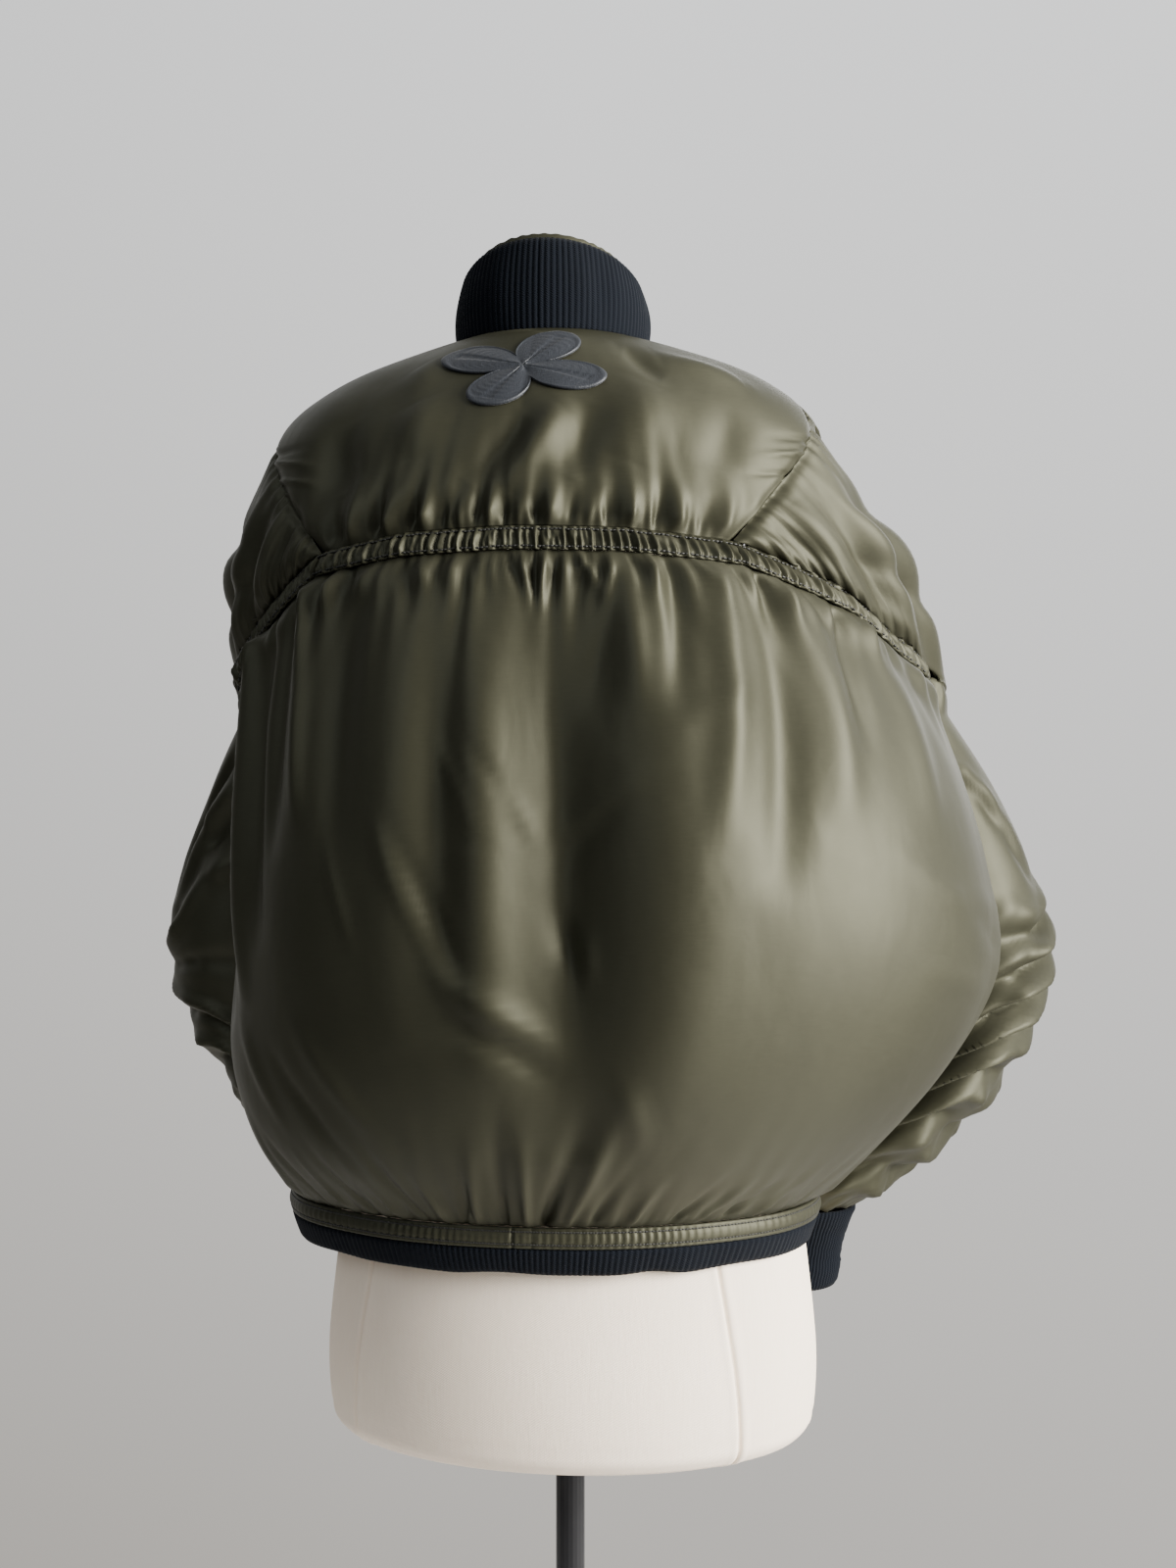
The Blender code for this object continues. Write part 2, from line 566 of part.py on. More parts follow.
def make_sleeve_head(side):
    """The puffed head of a sleeve, from the armhole to the casing behind and the tube in front."""
    armhole = armhole_seam(side)
    ring = sleeve_top_ring(side)
    stops = np.array(CASING_STOPS[side])
    angle = np.interp(np.arange(stops[-1, 0] + 1), stops[:, 0], stops[:, 1])
    height = casing_height(angle)
    edge = np.concatenate([ring[SLEEVE_FRONT_COLUMNS:], ring[:SLEEVE_OUTER_COLUMNS + 1],
                           body_point(angle, back_radius(angle, height), height + 0.0008)])
    length = np.linalg.norm(edge - armhole, axis=1)
    swell = SLEEVE_HEAD_BULGE * np.minimum(length / length.max(), 1.0) ** 0.8
    axis = np.array([armhole[:, 0].mean() - math.copysign(0.03, armhole[:, 0].mean()), armhole[:, 1].mean()])
    outward = (armhole + edge)[:, :2] / 2 - axis
    outward /= np.linalg.norm(outward, axis=1, keepdims=True)
    rows = []
    for share in (1.0, 0.82, 0.60, 0.36, 0.14, 0.0):
        row = armhole + (edge - armhole) * share
        row[:, :2] += outward * (swell * math.sin(math.pi * share))[:, None]
        rows.append(row)
    outer = np.array(rows)
    normal = grid_normals(outer)
    if np.sum(normal[2, :, :2] * outward) < 0:
        normal = -normal
    thick = SATIN_WALL * np.clip(length / 0.03, 0.27, 1.0)[:, None]
    inner = outer - normal * thick
    level = -normal[0] * (1.0, 1.0, 0.0)
    inner[0] = outer[0] + level / np.linalg.norm(level, axis=1, keepdims=True) * thick
    towards = armhole.mean(axis=0) - armhole
    rim = 0.8 * towards / np.linalg.norm(towards, axis=1, keepdims=True) - normal[-1]
    inner[-1] = outer[-1] + rim / np.linalg.norm(rim, axis=1, keepdims=True) * thick
    order = slice(None, None, 1 if side == "right" else -1)
    wall(f"sleeve_head_{side}", outer[:, order], inner[:, order], "satin")


def make_sleeve(side):
    """The tube of a sleeve below its head, scrunched towards the cuff."""
    top = sleeve_top_ring(side)
    top[:, 2] -= 0.0006
    top[SLEEVE_FRONT_COLUMNS, 2] -= 0.003
    rings = [top]
    bottom = SLEEVE_ROWS[side][-1][0]
    for height in np.linspace(SLEEVE_TOP - 0.024, bottom, SLEEVE_RINGS):
        centre, ring = sleeve_section(side, height)
        rings.append(squeeze(ring, centre))
    outer = np.array(rings)[::-1, ::(-1 if side == "left" else 1)]
    normal = grid_normals(outer, closed=True)
    middle = outer.mean(axis=1, keepdims=True)
    if np.sum(normal * (outer - middle)) < 0:
        normal = -normal
    inner = outer - normal * SATIN_WALL
    for row in (0, -1):
        level = (middle[row] - outer[row]) * (1.0, 1.0, 0.0)
        inner[row] = outer[row] + level / np.linalg.norm(level, axis=1, keepdims=True) * SATIN_WALL
    wall(f"sleeve_{side}", outer, inner, "satin", closed=True)


def make_cuff(side):
    """A ribbed cuff, drawn in below its seam and open at the end."""
    bottom = SLEEVE_ROWS[side][-1][0]
    centre, section = sleeve_section(side, bottom)
    section = squeeze(section, centre)
    columns = CUFF_RIBS * 2
    place = np.arange(columns) * SLEEVE_COLUMNS / columns
    looped = np.concatenate([section, section[:1]])
    outline = np.stack([np.interp(place, np.arange(len(looped)), looped[:, k]) for k in (0, 1)], axis=1)
    spoke = outline - centre[:2]
    reach = np.linalg.norm(spoke, axis=1, keepdims=True)
    spoke /= reach
    rib = RIB_RELIEF * (np.arange(columns) % 2)[:, None]
    outer, inner = [], []
    for share in (1.0, 0.5, 0.0):
        middle = centre[:2] + np.array(CUFF_SHIFT[side]) * share
        drawn = reach * (1.0 - 0.16 * math.sin(math.pi * min(share, 0.75)))
        height = np.full((columns, 1), bottom - 0.0006 - CUFF_HEIGHT * share)
        outer.append(np.hstack([middle + spoke * (drawn + rib), height]))
        inner.append(np.hstack([middle + spoke * (drawn - RIB_WALL), height]))
    wall(f"cuff_{side}", np.array(outer), np.array(inner), "rib", closed=True)


def open_round(columns, radius):
    """Angles all round but for the zip's width at the front, from the right to the left."""
    end = 180.0 - math.degrees(math.asin((ZIP_HALF_WIDTH + SEAM_GAP) / radius))
    return np.linspace(-end, end, columns)


def collar_point(angle, share, inset=0.0):
    """A point of the collar: share 0 at the neck seam and 1 at its top edge."""
    back, side, front = (COLLAR_HEIGHT[place] for place in ("back", "side", "front"))
    behind = np.maximum(np.cos(np.radians(angle)), 0.0) ** 1.15
    rise = side + (back - side) * behind + (front - side) * ease(np.abs(angle) / 90.0 - 1.0)
    radius = NECK_RADIUS + (COLLAR_TOP_RADIUS - NECK_RADIUS) * share + 0.003 * math.sin(math.pi * share)
    height = neck_height(angle) + SEAM_GAP + rise * share
    return body_point(angle, radius - inset, height, NECK_SHIFT)


def make_collar():
    """The ribbed stand collar, and the satin facing that just shows over its top edge."""
    angle = open_round(COLLAR_RIBS * 2 + 1, NECK_RADIUS - 0.008)
    rib = RIB_RELIEF * (np.arange(len(angle)) % 2)
    shares = (0.0, FACING_START, 1.0)
    outer = np.array([collar_point(angle, share, -rib) for share in shares])
    inner = np.array([collar_point(angle, share, RIB_WALL) for share in shares])
    wall("collar_rib", outer, inner, "rib")

    angle = open_round(27, COLLAR_TOP_RADIUS - 0.008)
    faces = []
    for inset in (RIB_WALL + REST_GAP, RIB_WALL + REST_GAP + FACING_WALL):
        low, high = (collar_point(angle, share, inset) for share in (FACING_START, 1.0))
        faces.append(np.array([low, high, high + (high - low) * FACING_STANDS_PROUD / COLLAR_HEIGHT["side"] * 2]))
    wall("collar_facing", *faces, "satin")


def hem_radius(angle):
    """Radius of the hem all round."""
    return body_radius(angle, HEM_LEVEL)


def make_hem():
    """The narrow stitched strip and the ribbed hem under it, both open at the zip."""
    front = hem_radius(np.array([180.0]))[0]
    angle = open_round(81, front)
    radius = hem_radius(angle)
    pucker = BAND_RELIEF * (np.arange(len(angle)) % 2)
    heights = (HEM_LEVEL - BAND_HEIGHT, HEM_LEVEL - SEAM_GAP)
    outer = [body_point(angle, radius + pucker, height) for height in heights]
    inner = [body_point(angle, radius - SATIN_WALL, height) for height in heights]
    wall("hem_band", np.array(outer), np.array(inner), "satin")

    angle = open_round(HEM_RIBS * 2 + 1, front)
    radius = hem_radius(angle)
    rib = RIB_RELIEF * (np.arange(len(angle)) % 2)
    top = HEM_LEVEL - BAND_HEIGHT - SEAM_GAP
    outer, inner = [], []
    for height, tuck in ((top - HEM_RIB_HEIGHT, HEM_RIB_TUCK), (top, HEM_RIB_TUCK / 3)):
        outer.append(body_point(angle, radius + rib - tuck, height))
        inner.append(body_point(angle, radius - RIB_WALL - tuck, height))
    wall("hem_rib", np.array(outer), np.array(inner), "rib")


def zip_line():
    """The zip's course up the centre front, as points and inward directions."""
    rows = []
    front = -hem_radius(np.array([180.0]))[0]
    low = HEM_LEVEL - BAND_HEIGHT - SEAM_GAP - HEM_RIB_HEIGHT
    rows.append(((GARMENT_SHIFT, front + HEM_RIB_TUCK, low), (0.0, 1.0, 0.0)))
    rows.append(((GARMENT_SHIFT, front + HEM_RIB_TUCK / 3, HEM_LEVEL - BAND_HEIGHT), (0.0, 1.0, 0.0)))
    for share in FRONT_SHARES[:-1]:
        point, inward = front_surface(np.array([180.0]), share)
        rows.append((point[0], inward[0]))
    for share in (0.06, 0.4, 0.7, 1.0):
        rows.append((collar_point(np.array([180.0]), share)[0], (0.0, 1.0, 0.0)))
    return np.array([row[0] for row in rows]), np.array([row[1] for row in rows])


def make_zip():
    """Both zip tapes, meeting at the teeth's line, with the slider and its hanging pull."""
    points, inward = zip_line()
    points = points + inward * 0.0008
    for side, edges in (("left", (0.0062, 0.0002)), ("right", (-0.0002, -0.0062))):
        outer = np.stack([points + (edge, 0.0, 0.0) for edge in edges], axis=1)
        wall(f"zip_tape_{side}", outer, outer + inward[:, None] * 0.0012, "zip_tape")
    side, _, level = points[-2]
    reach = np.interp((level - SLIDER_LENGTH / 2, level + SLIDER_LENGTH / 2), points[:, 2], points[:, 1])
    make_slider(Vector((side, reach.min() - REST_GAP, level)))


def metal_box(name, centre, size, bevel=0.0):
    """A metal block of a given size, its edges rounded."""
    mesh = bmesh.new()
    bmesh.ops.create_cube(mesh, size=1.0, matrix=Matrix.Translation(centre) @ Matrix.Diagonal((*size, 1.0)))
    if bevel:
        bmesh.ops.bevel(mesh, geom=mesh.edges[:], offset=bevel, segments=2, affect="EDGES", profile=0.5)
    data = bpy.data.meshes.new(name)
    mesh.to_mesh(data)
    mesh.free()
    return new_object(name, data, "zip_metal")


def combine(target, tool, operation):
    """Join a tool to a target, or cut it away, and drop the tool."""
    change = target.modifiers.new(operation.lower(), "BOOLEAN")
    change.operation = operation
    change.object = tool
    change.solver = "EXACT"
    graph = bpy.context.evaluated_depsgraph_get()
    data = bpy.data.meshes.new_from_object(target.evaluated_get(graph))
    target.modifiers.clear()
    target.data = data
    bpy.data.objects.remove(tool)


def make_slider(seat):
    """The slider with its arched bail, and the pull whose cross bar hangs in the bail.

    seat is the middle of the slider's back.
    """
    size = (0.0090, 0.0030, SLIDER_LENGTH)
    slider = metal_box("zip_slider", seat - Vector((0.0, size[1] / 2, 0.0)), size, 0.0008)
    plate = seat.y - size[1]
    axis = Vector((seat.x, plate - 0.0013, seat.z))
    bail = metal_box("bail", Vector((axis.x, plate - 0.0009, axis.z)), (0.0024, 0.0050, 0.0094), 0.0004)
    window = metal_box("window", Vector((axis.x, plate - 0.0012, axis.z)), (0.0060, 0.0026, 0.0060))
    combine(bail, window, "DIFFERENCE")
    combine(slider, bail, "UNION")
    length, width, thick, bar = 0.0210, 0.0066, 0.0012, 0.0007
    pull = metal_box("zip_pull", axis + Vector((0.0, 0.0, bar - length / 2)), (width, thick, length), 0.0003)
    eye_length = 0.0050
    eye = metal_box("eye", axis + Vector((0.0, 0.0, -bar - eye_length / 2)), (0.0036, 0.0040, eye_length))
    combine(pull, eye, "DIFFERENCE")


def make_applique():
    """A plain four-petalled blossom, laid on the yoke and raised along its petals."""
    half_width, half_height, tilt = 0.057, 0.046, math.radians(24.0)
    centre_share, share_per_metre = 0.755, 1 / 0.218
    turn = np.linspace(0, 2 * math.pi, 33)[:-1]
    petal = 0.30 + 0.70 * np.abs(np.cos(2 * turn)) ** 0.9
    outer, inner = [], []
    for reach in (0.05, 0.35, 0.7, 1.0):
        across = half_width * petal * reach * np.cos(turn + tilt)
        up = half_height * petal * reach * np.sin(turn + tilt)
        share = centre_share + up * share_per_metre
        angle = np.degrees(across / (0.105 - up * 0.62)) + 1.5
        ridge = 0.0011 + 0.0008 * np.abs(np.cos(2 * turn)) ** 6 * (1.2 - reach)
        outer.append(upper_surface(angle, share, REST_GAP + ridge)[0])
        inner.append(upper_surface(angle, share, REST_GAP)[0])
    wall("applique", np.array(outer), np.array(inner), "stitch_patch", closed=True)


def loft(name, rings, finish):
    """A closed body through rings of points, capped flat at both ends."""
    mesh = bmesh.new()
    loops = [[mesh.verts.new(point) for point in ring] for ring in rings]
    count = len(loops[0])
    for lower, upper in zip(loops, loops[1:]):
        for column in range(count):
            after = (column + 1) % count
            mesh.faces.new((lower[column], lower[after], upper[after], upper[column]))
    mesh.faces.new(loops[0])
    mesh.faces.new(loops[-1])
    bmesh.ops.recalc_face_normals(mesh, faces=mesh.faces)
    bmesh.ops.triangulate(mesh, faces=mesh.faces)
    data = bpy.data.meshes.new(name)
    mesh.to_mesh(data)
    mesh.free()
    data.shade_smooth()
    data.set_sharp_from_angle(angle=math.radians(50))
    return new_object(name, data, finish)


def make_form():
    """The limbless torso: hips, waist and chest as ovals, and shoulders that carry the yoke."""
    angle = 360.0 * np.arange(FORM_COLUMNS) / FORM_COLUMNS - 180.0
    turn = np.radians(angle)
    rings = []
    for height, shift, across, deep in FORM_ROWS:
        rings.append(np.stack([shift + across * np.sin(turn), deep * np.cos(turn),
                               np.full_like(turn, height)], axis=1))
    for share, under in FORM_SHOULDERS:
        points, inward = upper_surface(angle, share)
        rings.append(points + inward * (SATIN_WALL + REST_GAP + under))
    for radius, height in ((FORM_NECK_RADIUS, neck_height(angle) + 0.004),
                           (FORM_NECK_RADIUS - 0.005, FORM_NECK_TOP),
                           (FORM_NECK_RADIUS - 0.009, FORM_NECK_TOP + 0.004)):
        rings.append(body_point(angle, radius, height, NECK_SHIFT))
    loft("form_torso", rings, "form_cover")


def make_stand():
    """The round weighted base and the pole that carries the torso."""
    for name, radius, low, high, bevel in (
            ("form_base", BASE_RADIUS, 0.0, BASE_HEIGHT, 0.004),
            ("form_pole", POLE_RADIUS, BASE_HEIGHT + SEAM_GAP, FORM_BOTTOM - SEAM_GAP, 0.0)):
        mesh = bmesh.new()
        place = Matrix.Translation((0.0, 0.0, (low + high) / 2))
        bmesh.ops.create_cone(mesh, cap_ends=True, segments=36 if bevel else 20, radius1=radius,
                              radius2=radius, depth=high - low, matrix=place)
        if bevel:
            top = [edge for edge in mesh.edges if all(vert.co.z > high - 1e-5 for vert in edge.verts)]
            bmesh.ops.bevel(mesh, geom=top, offset=bevel, segments=3, affect="EDGES", profile=0.5)
        data = bpy.data.meshes.new(name)
        mesh.to_mesh(data)
        mesh.free()
        data.shade_smooth()
        data.set_sharp_from_angle(angle=math.radians(40))
        new_object(name, data, "form_steel")


def make_finishes():
    """One plain material for each finish."""
    for name, (colour, roughness, metallic) in FINISHES.items():
        material = bpy.data.materials.new(name)
        material.use_nodes = True
        surface = material.node_tree.nodes["Principled BSDF"]
        surface.inputs["Base Color"].default_value = (*colour, 1.0)
        surface.inputs["Roughness"].default_value = roughness
        surface.inputs["Metallic"].default_value = metallic


def main():
    """Build the jacket, piece by piece, and the form that it hangs on."""
    for item in list(bpy.data.objects):
        bpy.data.objects.remove(item)
    bpy.context.scene.collection.children.link(bpy.data.collections.new(COLLECTION))
    make_finishes()
    make_back_panel()
    make_casings()
    make_yoke()
    for side in ("left", "right"):
        make_front(side)
        make_sleeve_head(side)
        make_sleeve(side)
        make_cuff(side)
    make_collar()
    make_hem()
    make_zip()
    make_applique()
    make_form()
    make_stand()


main()
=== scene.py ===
"""Looks of a satin bomber jacket with a gathered back, worn by a limbless dress form.

Metres, +Z up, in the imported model's frame. The jacket's front faces -Y and its back +Y; the
wearer's left is +X. Angles round the body are in degrees, 0 at the centre back and positive
towards the wearer's left, so 180 is the zip.
"""
import logging
import math
from dataclasses import dataclass, field
from enum import Enum

import bpy
import numpy as np
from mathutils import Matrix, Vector


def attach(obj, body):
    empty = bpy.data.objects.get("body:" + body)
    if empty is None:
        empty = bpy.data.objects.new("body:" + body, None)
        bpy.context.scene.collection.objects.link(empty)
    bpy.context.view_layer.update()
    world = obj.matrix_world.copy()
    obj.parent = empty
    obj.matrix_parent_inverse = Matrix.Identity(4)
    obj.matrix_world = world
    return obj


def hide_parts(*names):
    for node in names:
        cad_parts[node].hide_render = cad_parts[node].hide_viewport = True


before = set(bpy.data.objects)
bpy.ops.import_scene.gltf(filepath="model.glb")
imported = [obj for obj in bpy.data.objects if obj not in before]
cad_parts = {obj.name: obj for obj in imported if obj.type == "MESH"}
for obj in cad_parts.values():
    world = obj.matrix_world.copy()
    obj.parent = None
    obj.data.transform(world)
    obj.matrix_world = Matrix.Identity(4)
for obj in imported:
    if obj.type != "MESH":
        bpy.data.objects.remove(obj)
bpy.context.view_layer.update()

logging.basicConfig(level=logging.INFO, format="%(message)s")
log = logging.getLogger("jacket")

Array = np.ndarray
Item = bpy.types.Object
Material = bpy.types.Material

BODY = "jacket_and_form"
DEGREE = math.pi / 180
FULL_TURN = 2 * math.pi
SEAM_GAP = 0.0003
ZIP_HALF = 0.0068


class Side(Enum):
    """The wearer's left, +X, or right, -X; the value is the sign of X."""

    LEFT = 1
    RIGHT = -1

    @property
    def word(self) -> str:
        """The side's word in node names."""
        return self.name.lower()

    @property
    def column(self) -> int:
        """The side's column in a table that holds both sides."""
        return 1 if self is Side.LEFT else 2


# ---- curves and tables

def ease(part: Array) -> Array:
    """A smooth step from 0 to 1: 3p^2 - 2p^3 of the clipped part."""
    part = np.clip(part, 0.0, 1.0)
    return part * part * (3.0 - 2.0 * part)


def bell(distance: Array, width: float | Array) -> Array:
    """A soft bump of height 1: e to the minus (distance / width) squared."""
    return np.exp(-np.square(distance / width))


def hermite(part: Array, span: Array, ends: tuple, slopes: tuple) -> Array:
    """A cubic between two knots.

    Args:
        part: how far along, 0 to 1.
        span: the knots' distance.
        ends: values at both knots.
        slopes: slopes at both knots.

    Returns:
        (1+2p)(1-p)^2 v0 + p(1-p)^2 h s0 + p^2(3-2p) v1 + p^2(p-1) h s1.
    """
    return ((1 + 2 * part) * (1 - part) ** 2 * ends[0] + part * (1 - part) ** 2 * span * slopes[0]
            + part ** 2 * (3 - 2 * part) * ends[1] + part ** 2 * (part - 1) * span * slopes[1])


def rows_at(where: Array, table: tuple | Array) -> Array:
    """Read a table's columns at given places between its rows.

    Args:
        where: places, of any shape.
        table: rows of a place, rising, and then the values there.

    Returns:
        Smoothly read rows: the shape of where, and then the values.
    """
    table = np.asarray(table, float)
    knots, values = table[:, 0], table[:, 1:]
    where = np.clip(np.asarray(where, float), knots[0], knots[-1])
    slopes = np.gradient(values, knots, axis=0)
    index = np.clip(np.searchsorted(knots, where, side="right") - 1, 0, len(knots) - 2)
    span = (knots[index + 1] - knots[index])[..., None]
    part = (where - knots[index])[..., None] / span
    return hermite(part, span, (values[index], values[index + 1]),
                   (slopes[index], slopes[index + 1]))


def straight(where: Array, table: tuple, column: int = 1) -> Array:
    """Read one column of a table, straight between its rows, at places in its first column."""
    line = np.array(table)
    return np.interp(where, line[:, 0], line[:, column])


def across(where: Array, knots: Array, rows: Array) -> Array:
    """Read one value from each place's own row of knot values.

    Args:
        where: places, of any shape.
        knots: the places of the row's values, rising, the same for all or one row for each place.
        rows: the values, the shape of where and then one for each knot.

    Returns:
        Smoothly read values in the shape of where.
    """
    knots = np.broadcast_to(np.asarray(knots, float), rows.shape)
    where = np.clip(where, knots[..., 0], knots[..., -1])
    slopes = np.empty_like(rows)
    steps = np.diff(knots, axis=-1)
    rates = np.diff(rows, axis=-1) / steps
    slopes[..., 0], slopes[..., -1] = rates[..., 0], rates[..., -1]
    before, after = steps[..., :-1], steps[..., 1:]
    slopes[..., 1:-1] = (rates[..., :-1] * after + rates[..., 1:] * before) / (before + after)
    index = np.clip((knots <= where[..., None]).sum(axis=-1) - 1, 0, rows.shape[-1] - 2)[..., None]

    def pick(values: Array, place: Array) -> Array:
        """The value at an index in each row."""
        return np.take_along_axis(values, place, axis=-1)[..., 0]

    low, high = pick(knots, index), pick(knots, index + 1)
    return hermite((where - low) / (high - low), high - low,
                   (pick(rows, index), pick(rows, index + 1)),
                   (pick(slopes, index), pick(slopes, index + 1)))


def ripple(place: Array, count: float, seed: float) -> Array:
    """An uneven wave from -1 to 1: a sine whose phase and height wander along place, 0 to 1."""
    turns = FULL_TURN * place
    phase = count * turns + 1.4 * np.sin(turns * 2.3 + seed)
    phase += 0.9 * np.sin(turns * 7.1 + 2.1 * seed)
    height = 0.62 + 0.24 * np.sin(turns * 5.3 + seed * 1.7) + 0.14 * np.sin(turns * 12.7 + seed)
    return np.sin(phase) * height


def puckers(place: Array, away: Array, *rows: tuple) -> Array:
    """Fine puckers that die away from a seam.

    Args:
        place: how far along the seam, 0 to 1.
        away: the distance from the seam.
        rows: each kind's height, count, seed and reach.

    Returns:
        The sum of height * ripple * e to the minus away / reach.
    """
    return sum(tall * ripple(place, count, seed) * np.exp(-away / reach)
               for tall, count, seed, reach in rows)


def fold_relief(folds: tuple, angle: Array, height: Array, radius: float,
                gather: bool = False) -> Array:
    """Creases laid on a panel, from listed rows.

    A fold is a row of its start's angle and height, its end's angle and height, its half width and
    its depth, in degrees and millimetres; the depth is above 0 for a ridge and below for a trough.
    A gather is deepest at its start and dies away to its end; any other fold does so at both ends.

    Args:
        folds: the rows.
        angle: the points' angles.
        height: the points' heights.
        radius: the radius that turns angles into arcs.
        gather: whether the rows are gathers.

    Returns:
        The sum in metres of each depth, times a bell across the fold's line, times its fade along
        the line.
    """
    total, arc = np.zeros(angle.shape), np.radians(angle) * radius
    for first, low, last, high, width, depth in folds:
        start = np.array([math.radians(first) * radius, low / 1000])
        line = np.array([math.radians(last) * radius, high / 1000]) - start
        length = float(np.hypot(*line))
        line /= length
        along = (arc - start[0]) * line[0] + (height - start[1]) * line[1]
        aside = (arc - start[0]) * line[1] - (height - start[1]) * line[0]
        part = np.clip(along / length, 0.0, 1.0)
        past = np.maximum(along - length, 0.0)
        if gather:
            spread, fade = 0.55 + 0.75 * part, (1 - part) ** 1.3
        else:
            spread, fade = 1.0, np.sin(math.pi * (0.04 + 0.92 * part)) ** 0.7
            past = np.maximum(past, -along)
        total += depth / 1000 * fade * bell(aside, width / 1000 * spread) * bell(past, 0.008)
    return total


# ---- meshes

def unit(vectors: Array) -> Array:
    """The vectors, each divided by its length."""
    return vectors / np.linalg.norm(vectors, axis=-1, keepdims=True)


def signed_volume(points: Array, quads: Array) -> float:
    """Six times the volume inside a mesh of quads: the sum of the triangles' triple products."""
    a, b, c, d = (points[quads[:, k]] for k in range(4))
    return float(np.sum(np.cross(a, b) * c) + np.sum(np.cross(a, c) * d))


def new_object(name: str, points: Array, faces: Array | list, smooth: bool = True,
               spread: Array | None = None) -> Item:
    """Put a mesh into the scene.

    Args:
        name: the piece's name.
        points: rows of x, y, z.
        faces: rows of point numbers; quads are turned to point outwards if they don't.
        smooth: whether its faces are shaded smooth.
        spread: the cloth's own coordinates in metres at each corner of each face, for its UV map.

    Returns:
        The object, at the origin.
    """
    if isinstance(faces, Array):
        if signed_volume(points, faces) < 0:
            faces = faces[:, ::-1]
            spread = None if spread is None else spread[:, ::-1]
        faces = faces.tolist()
    mesh = bpy.data.meshes.new(name)
    mesh.from_pydata(np.asarray(points, float).tolist(), [], faces)
    if spread is not None:
        layer = mesh.uv_layers.new(name="cloth")
        layer.data.foreach_set("uv", np.ascontiguousarray(spread, np.float32).ravel())
    mesh.update()
    if smooth:
        mesh.shade_smooth()
    item = bpy.data.objects.new(name, mesh)
    bpy.context.scene.collection.objects.link(item)
    return item


def corners(grid: Array) -> Array:
    """The four corners of each cell of a grid of values, in the order of its quads."""
    cells = np.stack([grid[:-1, :-1], grid[:-1, 1:], grid[1:, 1:], grid[1:, :-1]], axis=2)
    return cells.reshape(-1, 4, *grid.shape[2:])


def looped(grid: Array, closed: bool) -> Array:
    """A grid with its first column again at its end, if it is closed."""
    return np.concatenate([grid, grid[:, :1]], axis=1) if closed else grid


def grid_faces(rows: int, columns: int) -> Array:
    """Quads of a grid of points that joins its last column to its first."""
    return corners(looped(np.arange(rows * columns).reshape(rows, columns), True))


def cloth_map(points: Array, closed: bool) -> Array:
    """The cloth's own coordinates: metres along the grid's middle row, and up each column."""
    grid = looped(points, closed)
    middle = grid[len(grid) // 2]
    across_m = np.append(0.0, np.cumsum(np.linalg.norm(np.diff(middle, axis=0), axis=1)))
    steps = np.linalg.norm(np.diff(grid, axis=0), axis=2)
    up = np.concatenate([np.zeros((1, grid.shape[1])), np.cumsum(steps, axis=0)])
    return np.stack([np.broadcast_to(across_m, up.shape), up], axis=-1)


def wall(name: str, outer: Array, inner: Array, closed: bool = False) -> Item:
    """A closed cloth wall between an outer and an inner grid of points, with its rims.

    Args:
        name: the piece's name.
        outer: points of the outer side, rows by columns by 3.
        inner: points of the inner side, in the same order.
        closed: whether the last column joins the first, as on a sleeve.

    Returns:
        The wall's object.
    """
    rows, columns = outer.shape[:2]
    under = rows * columns
    numbers = looped(np.arange(under).reshape(rows, columns), closed)
    spread = cloth_map(outer, closed)
    faces = [corners(numbers), corners(numbers + under)[:, ::-1]]
    maps = [corners(spread), corners(spread)[:, ::-1]]
    rims = [(slice(0, 1), slice(None), 1), (slice(-1, None), slice(None), -1)]
    if not closed:
        rims += [(slice(None), slice(0, 1), -1), (slice(None), slice(-1, None), 1)]
    for row, column, turn in rims:
        edge = numbers[row, column].ravel()[::turn]
        at = spread[row, column].reshape(-1, 2)[::turn]
        faces.append(np.stack([edge[1:], edge[:-1], edge[:-1] + under, edge[1:] + under], axis=-1))
        maps.append(np.stack([at[1:], at[:-1], at[:-1], at[1:]], axis=1))
    return new_object(name, np.concatenate([outer.reshape(-1, 3), inner.reshape(-1, 3)]),
                      np.concatenate(faces), spread=np.concatenate(maps))


def grid_normals(points: Array, outward: Array, closed: bool = False) -> Array:
    """Unit normals of a grid: the cross product of its steps across and up, turned outwards.

    Args:
        points: the grid.
        outward: rough outward directions that fit it.
        closed: whether the last column joins the first.

    Returns:
        One normal for each point.
    """
    if closed:
        side = (np.roll(points, -1, axis=1) - np.roll(points, 1, axis=1)) / 2
    else:
        side = np.gradient(points, axis=1)
    normal = np.cross(side, np.gradient(points, axis=0))
    normal /= np.maximum(np.linalg.norm(normal, axis=-1, keepdims=True), 1e-12)
    return normal if np.sum(normal * outward) > 0 else -normal


def half_area(item: Item) -> float:
    """Half of a closed mesh's area in square metres, which is the area of its cloth."""
    return sum(face.area for face in item.data.polygons) / 2


def tile(part: tuple[Array, Array], frames: Array, places: Array) -> tuple[Array, Array]:
    """Repeat one small part at many places.

    Args:
        part: its points and its quads.
        frames: one 3 by 3 matrix for each copy, its columns the part's axes.
        places: each copy's place.

    Returns:
        All points, places + frames times the part's points, and all quads.
    """
    points, quads = part
    many = np.einsum("nij,pj->npi", frames, points) + places[:, None, :]
    numbers = quads[None] + (np.arange(len(places)) * len(points))[:, None, None]
    return many.reshape(-1, 3), numbers.reshape(-1, quads.shape[1])


